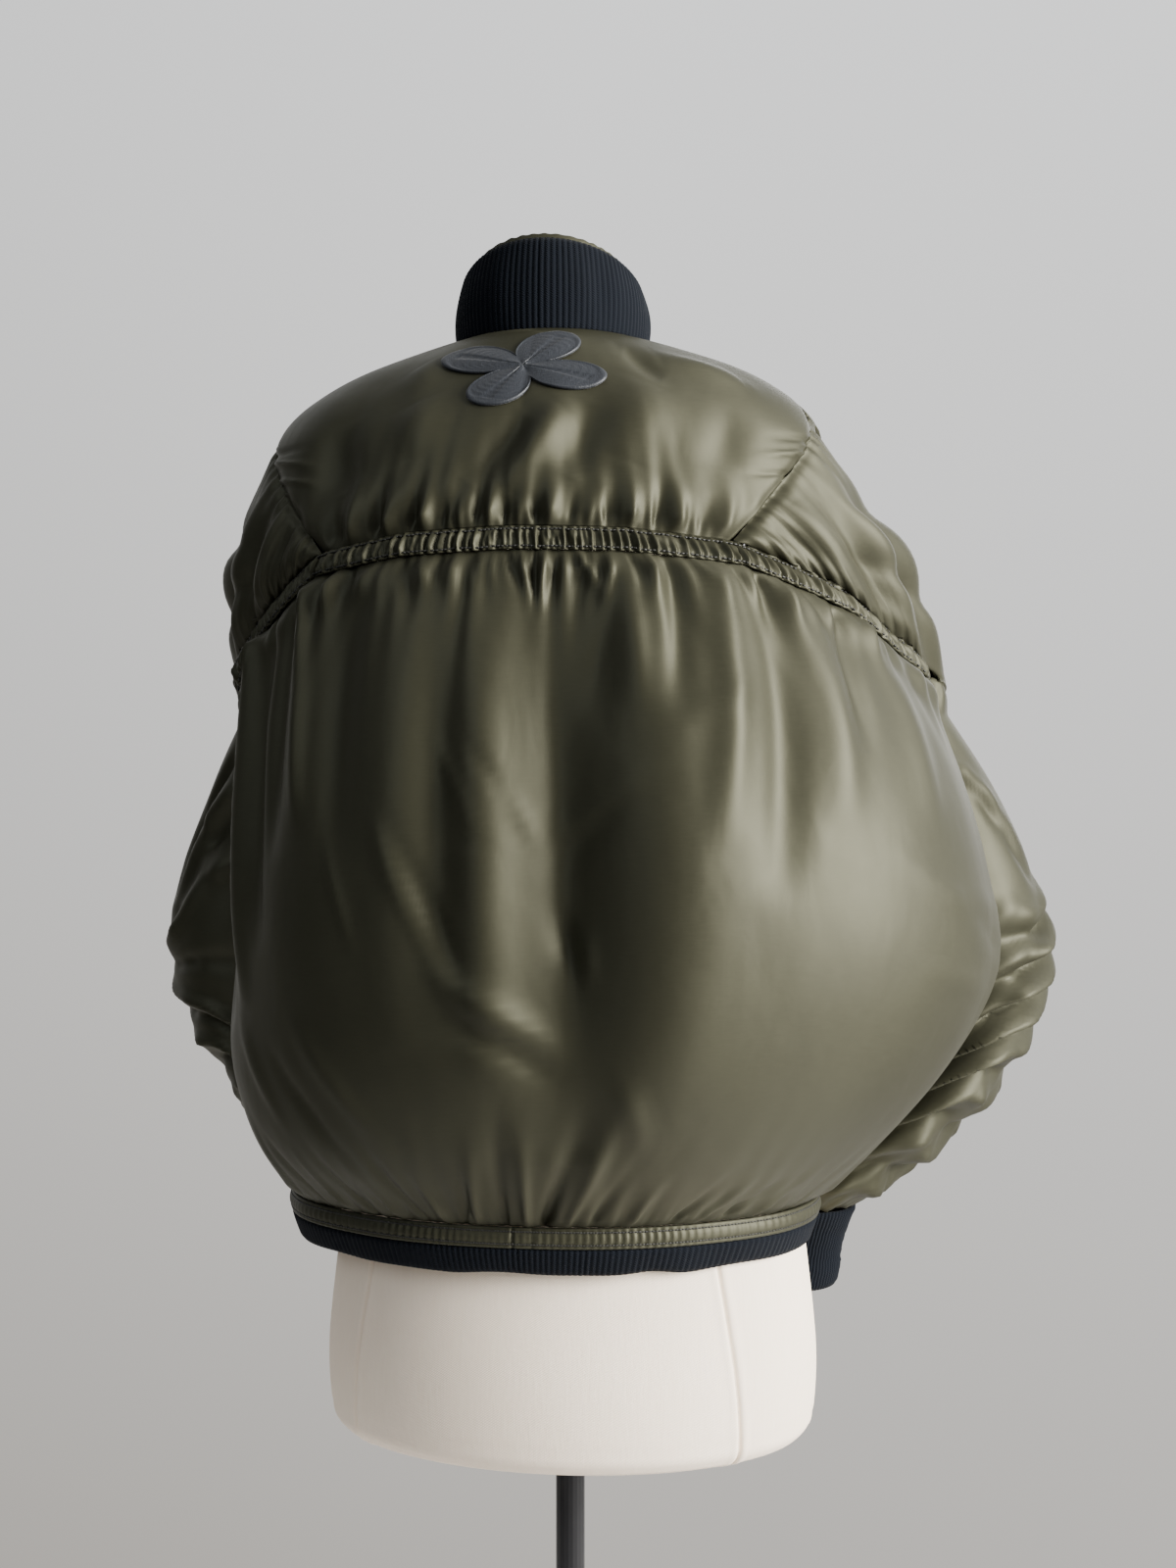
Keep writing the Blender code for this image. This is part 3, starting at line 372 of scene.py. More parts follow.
def block(size: tuple[float, float, float], crown: float) -> tuple[Array, Array]:
    """A small block about the origin: its four long edges drawn in by crown at both ends."""
    x, y, z = (value / 2 for value in size)
    rings = [(-x, 1 - crown), (-x * 0.6, 1.0), (x * 0.6, 1.0), (x, 1 - crown)]
    points = [(a, sy * y * k, sz * z * k) for a, k in rings
              for sy, sz in ((-1, -1), (1, -1), (1, 1), (-1, 1))]
    quads = [(4 * r + k, 4 * r + (k + 1) % 4, 4 * r + 4 + (k + 1) % 4, 4 * r + 4 + k)
             for r in range(3) for k in range(4)]
    return np.array(points), np.array([*quads, (3, 2, 1, 0), (12, 13, 14, 15)])


def stitches(name: str, lines: list[Array], size: tuple[float, float, float], crown: float) -> Item:
    """Rows of stitches: blocks that lie along level lines round the body."""
    frames = []
    for line in lines:
        along = unit(np.gradient(line, axis=0))
        out = unit(np.cross(along, (0.0, 0.0, 1.0)))
        frames.append(np.stack([along, out, np.cross(along, out)], axis=-1))
    many = tile(block(size, crown), np.concatenate(frames), np.concatenate(lines))
    return new_object(name, *many)


# ---- the jacket's form

@dataclass(frozen=True)
class BodyForm:
    """The jacket's body, as radii round an upright axis, on the sizes of its solids."""

    axis_x: float = 0.016
    neck_shift: tuple[float, float] = (-0.006, 0.020)
    hem: float = 0.628
    casing_width: float = 0.016
    neck: float = 1.233
    neck_front_drop: float = 0.043
    neck_radius: float = 0.068
    left_seam: float = 108.0
    right_seam: float = -116.0
    blades: tuple[float, float] = (-48.0, 46.0)
    cloth: float = 0.0030
    # Columns: the angles of the gathered back's radii, from the right edge to the left
    back_columns: tuple = (-99.0, -85.0, -73.0, -48.0, 0.0, 46.0, 70.0, 84.0)
    # Rows: rise from the hem to the casing, then one radius a column
    back_rows: tuple = (
        (0.00, 0.194, 0.194, 0.188, 0.164, 0.140, 0.160, 0.181, 0.187),
        (0.08, 0.226, 0.230, 0.222, 0.198, 0.172, 0.192, 0.205, 0.206),
        (0.20, 0.266, 0.274, 0.264, 0.235, 0.200, 0.215, 0.224, 0.218),
        (0.42, 0.316, 0.315, 0.302, 0.266, 0.210, 0.226, 0.226, 0.215),
        (0.60, 0.307, 0.308, 0.296, 0.262, 0.206, 0.222, 0.222, 0.211),
        (0.78, 0.290, 0.286, 0.270, 0.243, 0.194, 0.212, 0.218, 0.213),
        (0.92, 0.278, 0.258, 0.240, 0.213, 0.175, 0.199, 0.213, 0.220),
        (1.00, 0.268, 0.241, 0.222, 0.190, 0.158, 0.187, 0.208, 0.229),
    )
    # Height of the casing's upper edge: (angle, height)
    casing_line: tuple = (
        (-116.0, 0.985), (-99.0, 1.003), (-85.0, 1.030), (-73.0, 1.052), (-48.0, 1.079),
        (-25.0, 1.086), (0.0, 1.088), (25.0, 1.085), (46.0, 1.075), (70.0, 1.033), (84.0, 0.997),
        (108.0, 0.985),
    )
    # Radius of the side seams: (height, radius)
    side_seam: tuple = (
        (0.628, 0.184), (0.660, 0.187), (0.720, 0.188), (0.800, 0.186),
        (0.900, 0.182), (0.985, 0.176), (1.075, 0.170),
    )
    front_columns: tuple = (130.0, 155.0, 180.0)
    # Rows: rise, then one radius a column
    front_rows: tuple = (
        (0.0, 0.160, 0.140, 0.132), (0.1, 0.172, 0.152, 0.142), (0.3, 0.175, 0.156, 0.146),
        (0.6, 0.170, 0.152, 0.142), (0.8, 0.165, 0.148, 0.140), (1.0, 0.155, 0.136, 0.130),
    )
    upper_columns: tuple = (0.0, 25.0, 46.0, 62.0, 77.0, 90.0, 108.0, 130.0, 155.0, 180.0)
    # Rows: share from the casing to the neck, the wall's lean, then one radius a column
    upper_rows: tuple = (
        (0.00, 0.0, 0.158, 0.168, 0.187, 0.205, 0.215, 0.205, 0.170, 0.155, 0.136, 0.130),
        (0.30, 15.0, 0.149, 0.158, 0.178, 0.198, 0.208, 0.200, 0.172, 0.147, 0.129, 0.122),
        (0.55, 35.0, 0.132, 0.141, 0.162, 0.185, 0.197, 0.192, 0.166, 0.136, 0.117, 0.110),
        (0.72, 50.0, 0.112, 0.120, 0.140, 0.160, 0.172, 0.170, 0.148, 0.120, 0.103, 0.097),
        (0.85, 50.0, 0.094, 0.100, 0.114, 0.128, 0.136, 0.135, 0.118, 0.100, 0.089, 0.085),
        (0.94, 45.0, 0.079, 0.082, 0.088, 0.094, 0.097, 0.096, 0.088, 0.082, 0.077, 0.075),
        (1.00, 40.0, 0.068, 0.068, 0.068, 0.068, 0.068, 0.068, 0.068, 0.068, 0.068, 0.068),
    )

    @staticmethod
    def radial(angle: Array) -> Array:
        """Unit vectors that point out from the body: (sin, cos, 0) of the angle."""
        turn = np.radians(angle)
        return np.stack([np.sin(turn), np.cos(turn), np.zeros_like(turn)], axis=-1)

    def point(self, angle: Array, radius: Array, height: Array,
              shift: Array | tuple = (0.0, 0.0)) -> Array:
        """Points at an angle, a radius and a height: the axis plus radius times radial."""
        angle, radius, height = np.broadcast_arrays(np.asarray(angle, float), radius, height)
        spot = self.radial(angle) * radius[..., None]
        spot[..., 0] += self.axis_x
        spot[..., :2] += shift
        spot[..., 2] = height
        return spot

    def casing_height(self, angle: Array) -> Array:
        """Height of the casing's upper edge, straight between its corners."""
        return straight(angle, self.casing_line)

    def place(self, angle: Array) -> Array:
        """How far along the casing an angle is: 0 at the right side seam and 1 at the left."""
        return (angle - self.right_seam) / (self.left_seam - self.right_seam)

    def polar(self, points: Array) -> tuple[Array, Array]:
        """The angles and the radii of points round the axis."""
        x, y = points[..., 0] - self.axis_x, points[..., 1]
        return np.degrees(np.arctan2(x, y)), np.hypot(x, y)

    def hem_front(self) -> float:
        """Radius of the hem at the zip."""
        return float(self.body_radius(np.array([180.0]), self.hem)[0])

    def waist(self, angle: Array) -> Array:
        """Height where the lower and the upper body meet."""
        return self.casing_height(np.clip(angle, *self.blades))

    def back_radius(self, angle: Array, height: Array) -> Array:
        """Radius of the gathered back, without its folds."""
        rise = (height - self.hem) / (self.casing_height(angle) - self.hem)
        seam = rows_at(height, self.side_seam)
        knots = np.array([self.right_seam, *self.back_columns, self.left_seam])
        return across(angle, knots, np.concatenate([seam, rows_at(rise, self.back_rows), seam], -1))

    def front_radius(self, angle: Array, height: Array) -> Array:
        """Radius of the fronts below the chest."""
        rise = (height - self.hem) / (self.waist(angle) - self.hem)
        columns = rows_at(rise, self.front_rows)
        start = np.where(angle > 0, self.left_seam, -self.right_seam)[..., None]
        knots = np.concatenate([start, np.broadcast_to(self.front_columns, columns.shape)], -1)
        radii = np.concatenate([rows_at(height, self.side_seam), columns], -1)
        return across(np.abs(angle), knots, radii)

    def body_radius(self, angle: Array, height: Array) -> Array:
        """Radius all round below the casing: the back's between the side seams, or the fronts'."""
        angle = (np.asarray(angle, float) + 180.0) % 360.0 - 180.0
        level = np.maximum(np.broadcast_to(height, angle.shape), self.hem)
        behind = (angle < self.left_seam) & (angle > self.right_seam)
        return np.where(behind, self.back_radius(angle, level), self.front_radius(angle, level))

    def neck_height(self, angle: Array) -> Array:
        """Height of the neck seam: level behind, lower in front."""
        return self.neck - self.neck_front_drop * ease((np.abs(angle) - 90.0) / 90.0)

    def upper(self, angle: Array, share: Array) -> tuple[Array, Array]:
        """The yoke and the chest.

        Args:
            angle: the points' angles.
            share: how far up they are, 0 at the casing's level and 1 at the neck.

        Returns:
            The points, and unit directions into the cloth.
        """
        angle, share = np.broadcast_arrays(np.asarray(angle, float), np.asarray(share, float))
        table = rows_at(share, self.upper_rows)
        radius = across(np.abs(angle), self.upper_columns, table[..., 1:])
        lean = np.radians(table[..., 0])
        height = self.waist(angle) + share * (self.neck_height(angle) - self.waist(angle))
        inward = -self.radial(angle) * np.cos(lean)[..., None]
        inward[..., 2] = -np.sin(lean)
        shift = share[..., None] * np.array(self.neck_shift)
        return self.point(angle, radius, height, shift), inward

    def front(self, angle: Array, share: Array) -> tuple[Array, Array]:
        """The fronts: share -1 at the hem, 0 at the chest and 1 at the neck.

        Args:
            angle: the points' angles.
            share: how far up they are.

        Returns:
            The points, and unit directions into the cloth.
        """
        angle, share = np.broadcast_arrays(np.asarray(angle, float), np.asarray(share, float))
        points, inward = self.upper(angle, np.maximum(share, 0.0))
        height = self.hem + (1.0 + np.minimum(share, 0.0)) * (self.waist(angle) - self.hem)
        low = self.point(angle, self.front_radius(angle, height), height)
        below = (share < 0.0)[..., None]
        return np.where(below, low, points), np.where(below, -self.radial(angle), inward)

    def collar(self, angle: Array, share: Array, inset: Array | float = 0.0) -> Array:
        """Points of the stand collar: share 0 at the neck seam, 1 at its edge."""
        behind = np.maximum(np.cos(np.radians(angle)), 0.0) ** 1.15
        rise = 0.040 + 0.022 * behind + 0.013 * ease(np.abs(angle) / 90.0 - 1.0)
        height = self.neck_height(angle) + SEAM_GAP + rise * share
        radius = self.neck_radius - 0.005 * share - inset
        radius = radius + 0.003 * np.sin(math.pi * np.clip(share, 0.0, 1.0))
        return self.point(angle, radius, height, self.neck_shift)


FORM = BodyForm()


def edge_roll(*distances: Array, depth: float = 0.0022, width: float = 0.0045) -> Array:
    """How far cloth turns in at its seams: depth times a bell of the distance to the nearest."""
    return -depth * bell(np.minimum.reduce(np.broadcast_arrays(*distances)), width)


def round_wall(name: str, angle: Array, radius: Array, inside: Array, height: Array) -> Item:
    """A cloth wall between two radii round the body's axis."""
    return wall(name, FORM.point(angle, radius, height), FORM.point(angle, inside, height))


def both_sides(points: Array, inward: Array, lift: Array) -> tuple[Array, Array]:
    """A cloth's outer side, lifted off its form, and its inner side under it."""
    return points - inward * lift[..., None], points + inward * (FORM.cloth - lift)[..., None]


# ---- the back

@dataclass
class GatheredBack:
    """The ballooning lower back and the gathered casing over it."""

    columns: int = 340
    rows: int = 92
    casing_rows: int = 13
    radius: float = 0.22
    # How far up the casing its rows of stitches run, and their step in degrees
    stitch_rows: tuple = (0.13, 0.87)
    stitch_step: float = 0.92
    stitch_size: tuple = (0.0028, 0.0014, 0.0011)
    # The balloon's own long forms
    forms: tuple = (
        (-11, 1050, -12, 690, 34, -17), (-9, 1000, -13, 760, 14, -3), (4.5, 1030, 2, 740, 19, 8),
        (-29, 1055, -28, 700, 36, 9), (20, 1060, 18, 760, 24, 5), (13, 1010, 11, 820, 14, -3.5),
        (44.5, 1055, 40.5, 900, 8, 6), (52.5, 1050, 47, 880, 10, -8),
        (66, 1030, 56.5, 780, 10, 9.5), (60, 1020, 51, 820, 9, -7.5), (76, 1000, 66, 760, 12, -9),
        (34, 1050, 31, 880, 14, -5), (-41, 1062, -34.5, 890, 11, 7),
        (-49.5, 1055, -43, 860, 13, -9), (-57.5, 1040, -53, 900, 13, 6.5),
        (-66, 1040, -60, 950, 8, -6.5), (-76, 1020, -70, 900, 12, 4.5),
        (-33, 1060, -29, 970, 8, -5), (-19, 1060, -17, 960, 10, -4), (-24, 1060, -23, 970, 8, 4),
    )
    # Gathers that fall from the casing
    gathers: tuple = (
        (36.5, 1066, 34, 1036, 7, -8), (39.5, 1064, 39.5, 1026, 6, 6.4),
        (30.5, 1068, 32.5, 1034, 7, 6), (24, 1070, 19, 1022, 8, -7.2), (20, 1070, 16, 1042, 5, 5.6),
        (15.5, 1071, 15.5, 1040, 4.5, -5.6), (11.5, 1072, 11, 1020, 6.5, 4.8),
        (8, 1072, 6.5, 1045, 4, -5.6), (4, 1072, 2.5, 1030, 5, 4.8), (1, 1072, -3, 1040, 4, -6.4),
        (-2.5, 1072, -5.2, 1028, 3.5, 8), (-5.6, 1072, -5.9, 1024, 3, -9.6),
        (-8, 1072, -6.5, 1026, 3.5, 8.8), (-11, 1071, -9, 1030, 4, -6.4),
        (-14.5, 1071, -21, 1030, 4.5, 7.2), (-17, 1071, -13.5, 1012, 5, -5.6),
        (-21.5, 1070, -16, 990, 5.5, 6.4), (-25, 1070, -27.5, 1040, 4.5, -6.4),
        (-29, 1069, -27, 1020, 6, 6.4), (-33, 1068, -34, 980, 8, -7.2),
        (-38, 1066, -40, 1045, 4.5, 5.6), (-41.5, 1065, -41, 1000, 7, 4.8),
        (-45, 1063, -46.5, 1035, 4.5, -6.4), (-50.5, 1059, -50, 990, 8, -8),
        (-55, 1054, -54, 1010, 6, 7.2), (-59.5, 1050, -60.5, 1020, 5, -7.2),
        (-63, 1046, -61, 990, 6, 6.4), (-68, 1041, -64, 985, 7, -9.6),
        (-73.5, 1035, -70, 970, 7, 6.4), (-79, 1025, -76, 985, 6, -5.6),
        (-88, 1008, -86, 940, 9, 6.4), (-95, 992, -93, 930, 8, -6.4), (46, 1058, 44, 980, 5, 5.6),
        (50, 1052, 49.5, 990, 7, -6.4), (58.5, 1036, 55, 960, 7, -7.2), (65, 1025, 61, 930, 8, 7.2),
        (72, 1010, 67, 930, 7, -8), (79, 992, 74, 900, 8, 6.4), (88, 980, 84, 880, 8, -6.4),
        (98, 972, 94, 880, 9, 5.6), (-106, 980, -104, 900, 8, -5.6),
    )
    # Gathers that rise from the hem
    hem_gathers: tuple = (
        (64, 634, 66, 700, 6, 4.7), (55, 634, 62, 690, 5, -4.7), (47, 634, 52, 680, 5, 4.7),
        (39.5, 634, 47, 690, 5, -5.4), (32, 634, 36, 672, 4.5, 4.1), (25, 634, 33, 705, 5.5, -5.4),
        (19, 634, 22, 675, 4, 4.7), (13.5, 634, 9, 668, 4, -6.1), (10, 634, 6, 700, 6, 5.4),
        (3, 634, 1, 730, 8, -7.4), (-3, 634, -3.5, 710, 6, 6.1), (-8, 634, -18, 730, 9, -8.8),
        (-14, 634, -24, 740, 8, 6.1), (-20, 634, -27, 690, 6, -4.1), (-29, 634, -34, 680, 6, 3.4),
        (-40, 634, -47, 672, 5, -4.7), (-46, 634, -54, 668, 4.5, 4.7),
        (-52, 634, -62, 665, 4.5, -4.7), (-60, 634, -68, 670, 5, 4.1),
        (-72, 634, -78, 680, 6, -4.7), (-84, 634, -87, 690, 7, 4.1), (76, 634, 77, 700, 6, -4.7),
        (90, 634, 88, 710, 7, 4.7), (-98, 634, -98, 700, 7, -4.7),
    )
    # Drag lines
    drags: tuple = (
        (13, 950, 5, 900, 3.5, 1.5), (6, 945, -3.5, 905, 4, -2), (1, 925, -6, 890, 4, 1.8),
        (23, 895, 9, 790, 6, 2.2), (19, 890, 6, 800, 5, -2), (12, 880, -2, 892, 3, -1.4),
        (-8.5, 885, -24, 925, 5, 2.2), (-12, 870, -20, 905, 6, -2.2), (-10, 835, -15, 800, 9, -4.2),
        (-14.5, 825, -15.5, 795, 6, 3.6), (12, 800, -10, 752, 9, 5), (9, 772, -9.5, 738, 8, -5),
        (33, 880, 27, 820, 3.5, 1.4), (-62, 870, -80, 820, 7, 2.1), (-70, 850, -92, 830, 4, 1.7),
        (-74, 835, -92, 800, 5, -2), (-66, 800, -86, 775, 5, 1.7), (-30, 960, -40, 985, 8, 2.1),
        (40, 760, 26, 690, 8, 2.8), (48, 740, 34, 670, 6, -2.5), (58, 760, 50, 690, 7, 2.2),
        (-20, 735, -26, 690, 8, 2.8),
    )

    def relief(self, angle: Array, height: Array) -> Array:
        """All folds together, calmed towards the side seams, with fine puckers at both ends."""
        total = fold_relief(self.forms + self.drags, angle, height, self.radius)
        total += fold_relief(self.gathers + self.hem_gathers, angle, height, self.radius, True)
        below = FORM.casing_height(angle) - FORM.casing_width - height
        above = height - FORM.hem
        place = FORM.place(angle)
        uneven = 0.75 + 0.75 * ripple(place, 9, 0.5)
        total += puckers(place, below, (0.0016, 96, 0.7, 0.008),
                         (0.0042 * uneven, 41, 2.1, 0.018 + 0.012 * uneven))
        total += puckers(place, above, (0.0013, 88, 1.4, 0.007), (0.0026, 37, 3.3, 0.022))
        total += 0.0030 * bell(below - 0.014, 0.011)
        calm = ease((FORM.left_seam - angle) / 7.0) * ease((angle - FORM.right_seam) / 7.0)
        ends = (0.2 + 0.8 * ease(below / 0.011)) * (0.3 + 0.7 * ease(above / 0.008))
        return total * calm * ends

    def panel(self) -> Item:
        """The lower back: radius = form + folds - the roll at its seams."""
        angle, share = np.meshgrid(
            np.linspace(FORM.right_seam, FORM.left_seam - 0.1, self.columns),
            0.5 - 0.5 * np.cos(math.pi * np.linspace(0, 1, self.rows) ** 0.96))
        low = FORM.hem + SEAM_GAP
        high = FORM.casing_height(angle) - FORM.casing_width - SEAM_GAP
        height = low + share * (high - low)
        arc = self.radius * DEGREE
        radius = FORM.back_radius(angle, height) + self.relief(angle, height)
        radius += edge_roll(high - height, height - low, depth=0.0016, width=0.0030)
        radius += edge_roll((FORM.left_seam - angle) * arc, (angle - FORM.right_seam) * arc)
        return round_wall("back_balloon", angle, radius, radius - FORM.cloth, height)

    def casing(self, name: str, start: float, end: float, columns: int) -> Item:
        """A run of the gathered casing: cross puckers, drawn in along its rows of stitches.

        Args:
            name: the piece's name.
            start: its first angle.
            end: its last angle.
            columns: how many points along it.

        Returns:
            The casing's wall.
        """
        angle, share = np.meshgrid(np.linspace(start, end, columns),
                                   np.linspace(0, 1, self.casing_rows))
        height = FORM.casing_height(angle) - FORM.casing_width * (1 - share)
        place = FORM.place(angle)
        pucker = sum(tall * ripple(place, count, seed)
                     for tall, count, seed in ((1.0, 112, 0.4), (0.7, 71, 1.9), (0.3, 190, 3.0)))
        slant = ripple(place + 0.0012 * np.sin(FULL_TURN * share), 134, 2.3)
        middle = np.sin(math.pi * share)
        relief = 0.0019 * pucker * (0.45 + 0.55 * middle) + (0.0011 * slant + 0.0006) * middle
        relief -= sum(0.0012 * bell(share - row, 0.06) for row in self.stitch_rows)
        base = FORM.back_radius(angle, height) + 0.0020
        arc = base * DEGREE
        relief += edge_roll(share * FORM.casing_width, (1 - share) * FORM.casing_width,
                            depth=0.0010, width=0.0010)
        relief += edge_roll((angle - start) * arc, (end - angle) * arc, depth=0.0010, width=0.0015)
        return round_wall(name, angle, base + relief, base - FORM.cloth, height)

    def casing_stitches(self) -> Item:
        """Rows of dark stitches, 3 mm long, sunk along the casing from end to end."""
        lines = []
        for row in self.stitch_rows:
            angle = np.arange(FORM.right_seam + 1.0, FORM.left_seam - 1.0, self.stitch_step)
            wander = 0.02 * ripple(FORM.place(angle), 31, row * 9)
            height = FORM.casing_height(angle) - FORM.casing_width * (1 - row + wander)
            lines.append(FORM.point(angle, FORM.back_radius(angle, height) + 0.0016, height))
        return stitches("casing_stitches", lines, self.stitch_size, 0.40)


@dataclass
class Yoke:
    """The upper back from the casing to the neck, with soft pillows over the casing's gathers."""

    columns: int = 210
    rows: int = 84
    radius: float = 0.16
    # The armhole and shoulder seams as (share up, left angle, right angle)
    edge: tuple = ((0.0, 46.0, 48.0), (0.22, 57.0, 58.0), (0.44, 68.0, 69.0), (0.62, 77.0, 78.0),
                   (0.80, 84.0, 85.0), (1.0, 90.0, 90.0))
    # Gathers that rise from the casing, then puckers along the armhole seams
    gathers: tuple = (
        (44, 1094, 46, 1150, 14, -5.2), (38, 1092, 38, 1130, 8, 4.5),
        (33, 1091, 31.5, 1125, 7, -4.5), (29, 1090, 27, 1135, 8, 6),
        (24.5, 1090, 23, 1110, 4.5, -5.2), (21, 1090, 18, 1128, 7, 5.7),
        (16.5, 1090, 15.5, 1115, 5, -5.2), (12.5, 1090, 12.5, 1112, 5, 4.8),
        (9.5, 1090, 7, 1125, 5, -4.5), (5.5, 1090, 4, 1118, 5, 4.5), (2, 1090, 1, 1112, 4, -4.8),
        (-1.5, 1090, -3, 1125, 5, 5.2), (-5.5, 1090, -5, 1110, 4, -6.8),
        (-9, 1090, -10, 1130, 7, 5.4), (-13.5, 1090, -15, 1120, 5, -5.7),
        (-17.5, 1090, -18, 1115, 5, 4.8), (-22, 1090, -21.5, 1112, 5, -4.8),
        (-27, 1090, -29.5, 1140, 9, 6), (-32.5, 1090, -34, 1120, 5.5, -5.2),
        (-37, 1088, -38.5, 1130, 7, 5.2), (-42, 1086, -43, 1110, 5, -4.5),
        (-46, 1084, -50, 1130, 6, 3.8),
        (60, 1140, 50, 1135, 3, 2.1), (64, 1150, 55, 1149, 3, -2), (-62, 1140, -53, 1136, 3, 2.4),
        (-66, 1152, -57, 1150, 3, -2.2), (-58, 1126, -50, 1124, 3, -2.1),
        (56, 1126, 48, 1122, 3, 2),
    )
    # The long soft sweeps between the neck and the casing
    sweeps: tuple = (
        (-11, 1168, 2, 1112, 11, 6.5), (-1, 1164, 11, 1116, 12, -5.5),
        (-21, 1170, -13, 1120, 12, -5.5), (-36, 1185, -26, 1130, 18, 5.5),
        (30, 1175, 24, 1135, 16, 4.5), (50, 1160, 44, 1115, 13, -6), (-54, 1170, -46, 1125, 10, -3),
        (40, 1205, 30, 1180, 12, 2.4), (-45, 1205, -62, 1190, 9, 4.8),
        (-36, 1212, -42, 1190, 8, -3.6),
    )

    def relief(self, angle: Array, height: Array) -> Array:
        """All the yoke's folds together."""
        return (fold_relief(self.gathers, angle, height, self.radius, True)
                + fold_relief(self.sweeps, angle, height, self.radius))

    def panel(self) -> Item:
        """The yoke: the back's surface from one armhole seam to the other, lifted by its folds."""
        share, part = np.meshgrid(0.003 + 0.997 * np.linspace(0, 1, self.rows) ** 1.15,
                                  np.linspace(0, 1, self.columns), indexing="ij")
        left, right = (straight(share, self.edge, side.column) for side in Side)
        angle = part * (left + right) - right
        points, inward = FORM.upper(angle, share)
        above = points[..., 2] - FORM.casing_height(angle)
        lift = self.relief(angle, points[..., 2]) + 0.0026 * bell(above - 0.022, 0.016)
        lift += puckers(FORM.place(angle), above, (0.0015, 96, 0.7, 0.008),
                        (0.0030, 43, 4.2, 0.020))
        lift *= 0.2 + 0.8 * ease(above / 0.011)
        side = np.minimum(part, 1 - part) * (left + right) * DEGREE * self.radius
        slope = 0.24 * (1 - share)
        lift += (edge_roll(side, depth=0.0024) + edge_roll(above, depth=0.0012, width=0.003)
                 + edge_roll(slope, depth=0.0020))
        lift *= 1.0 - 0.5 * bell(slope, 0.01)
        return wall("yoke_satin", *both_sides(points, inward, lift))


@dataclass
class Front:
    """One plain front from its side seam and armhole to the zip, gathered a little at the hem."""

    side: Side
    columns: int = 80
    rows: int = 110
    radius: float = 0.15
    # The seam's edge: share up, -1 at the hem and 0 at the chest, then the angle on each side
    edge: tuple = ((-1.0, 108.0, 116.0), (-0.193, 108.0, 116.0), (-0.10, 117.0, 121.0),
                   (0.0, 122.0, 124.0), (0.20, 118.0, 119.0), (0.45, 98.0, 98.0),
                   (0.62, 77.0, 78.0), (0.80, 84.0, 85.0), (1.0, 90.0, 90.0))
    # Angles are measured towards the zip on both sides
    folds: tuple = (
        (128, 990, 134, 800, 10, 3), (138, 1060, 140, 780, 12, -3), (150, 1100, 148, 820, 14, 2.6),
        (163, 1080, 160, 760, 12, -2.6), (120, 960, 124, 760, 9, -2.6), (170, 980, 168, 700, 9, 2),
        (112, 900, 118, 720, 9, 2.4), (130, 1060, 118, 1020, 8, -2.2),
        (132, 1040, 116, 985, 7, 2.2), (150, 720, 158, 680, 8, -1.8),
    )
    hem_gathers: tuple = (
        (116, 634, 120, 700, 6, 3.4), (122, 634, 125, 690, 5, -3.2), (128.5, 634, 130, 710, 6.5, 3),
        (136, 634, 135, 690, 5, -3.4), (143, 634, 144, 700, 6, 3), (150, 634, 148, 680, 5, -3),
        (157, 634, 158, 710, 6.5, 2.8), (165, 634, 163, 690, 5.5, -3), (171, 634, 171, 680, 5, 2.2),
    )

    def panel(self) -> Item:
        """The front: its surface between the seam's edge and the zip, lifted by its folds."""
        sign = self.side.value
        share, part = np.meshgrid(np.linspace(-0.999, 1.0, self.rows),
                                  np.linspace(0, 1, self.columns), indexing="ij")
        start = straight(share, self.edge, self.side.column) + 0.14
        probe, _ = FORM.front(np.full(share.shape, 180.0 * sign), share)
        reach = np.abs(probe[..., 1] - FORM.neck_shift[1] * np.maximum(share, 0.0))
        zip_angle = 180.0 - np.degrees(np.arcsin(ZIP_HALF / reach))
        turn = start + part * (zip_angle - start)
        points, inward = FORM.front(sign * turn, share)
        height = points[..., 2]
        above = height - FORM.hem
        lift = fold_relief(self.folds, turn, height, self.radius)
        lift += fold_relief(self.hem_gathers, turn, height, self.radius, True)
        lift += puckers(turn / 180 + 0.3 * (sign > 0), above, (0.0014, 70, 1.2, 0.014))
        lift *= ease(above / 0.006) * ease(part / 0.08) * ease((1 - part) / 0.05)
        arc = 0.14 * DEGREE
        lift += edge_roll((zip_angle - turn) * arc, above + 0.0005, FORM.neck_height(turn) - height)
        lift += edge_roll((turn - start) * arc, depth=0.0008)
        outer, inner = both_sides(points, inward, lift)
        return wall(f"front_satin_{self.side.word}", outer[:, ::sign], inner[:, ::sign])


# ---- the sleeves

def soften(points: Array, weight: Array, passes: int = 260) -> Array:
    """Round a grid's creases along its rows: each pass moves it to the neighbours' middle."""
    for _ in range(passes):
        middle = points.copy()
        middle[:, 1:-1] = (points[:, :-2] + points[:, 2:]) / 2
        points = points + 0.8 * weight[..., None] * (middle - points)
    return points


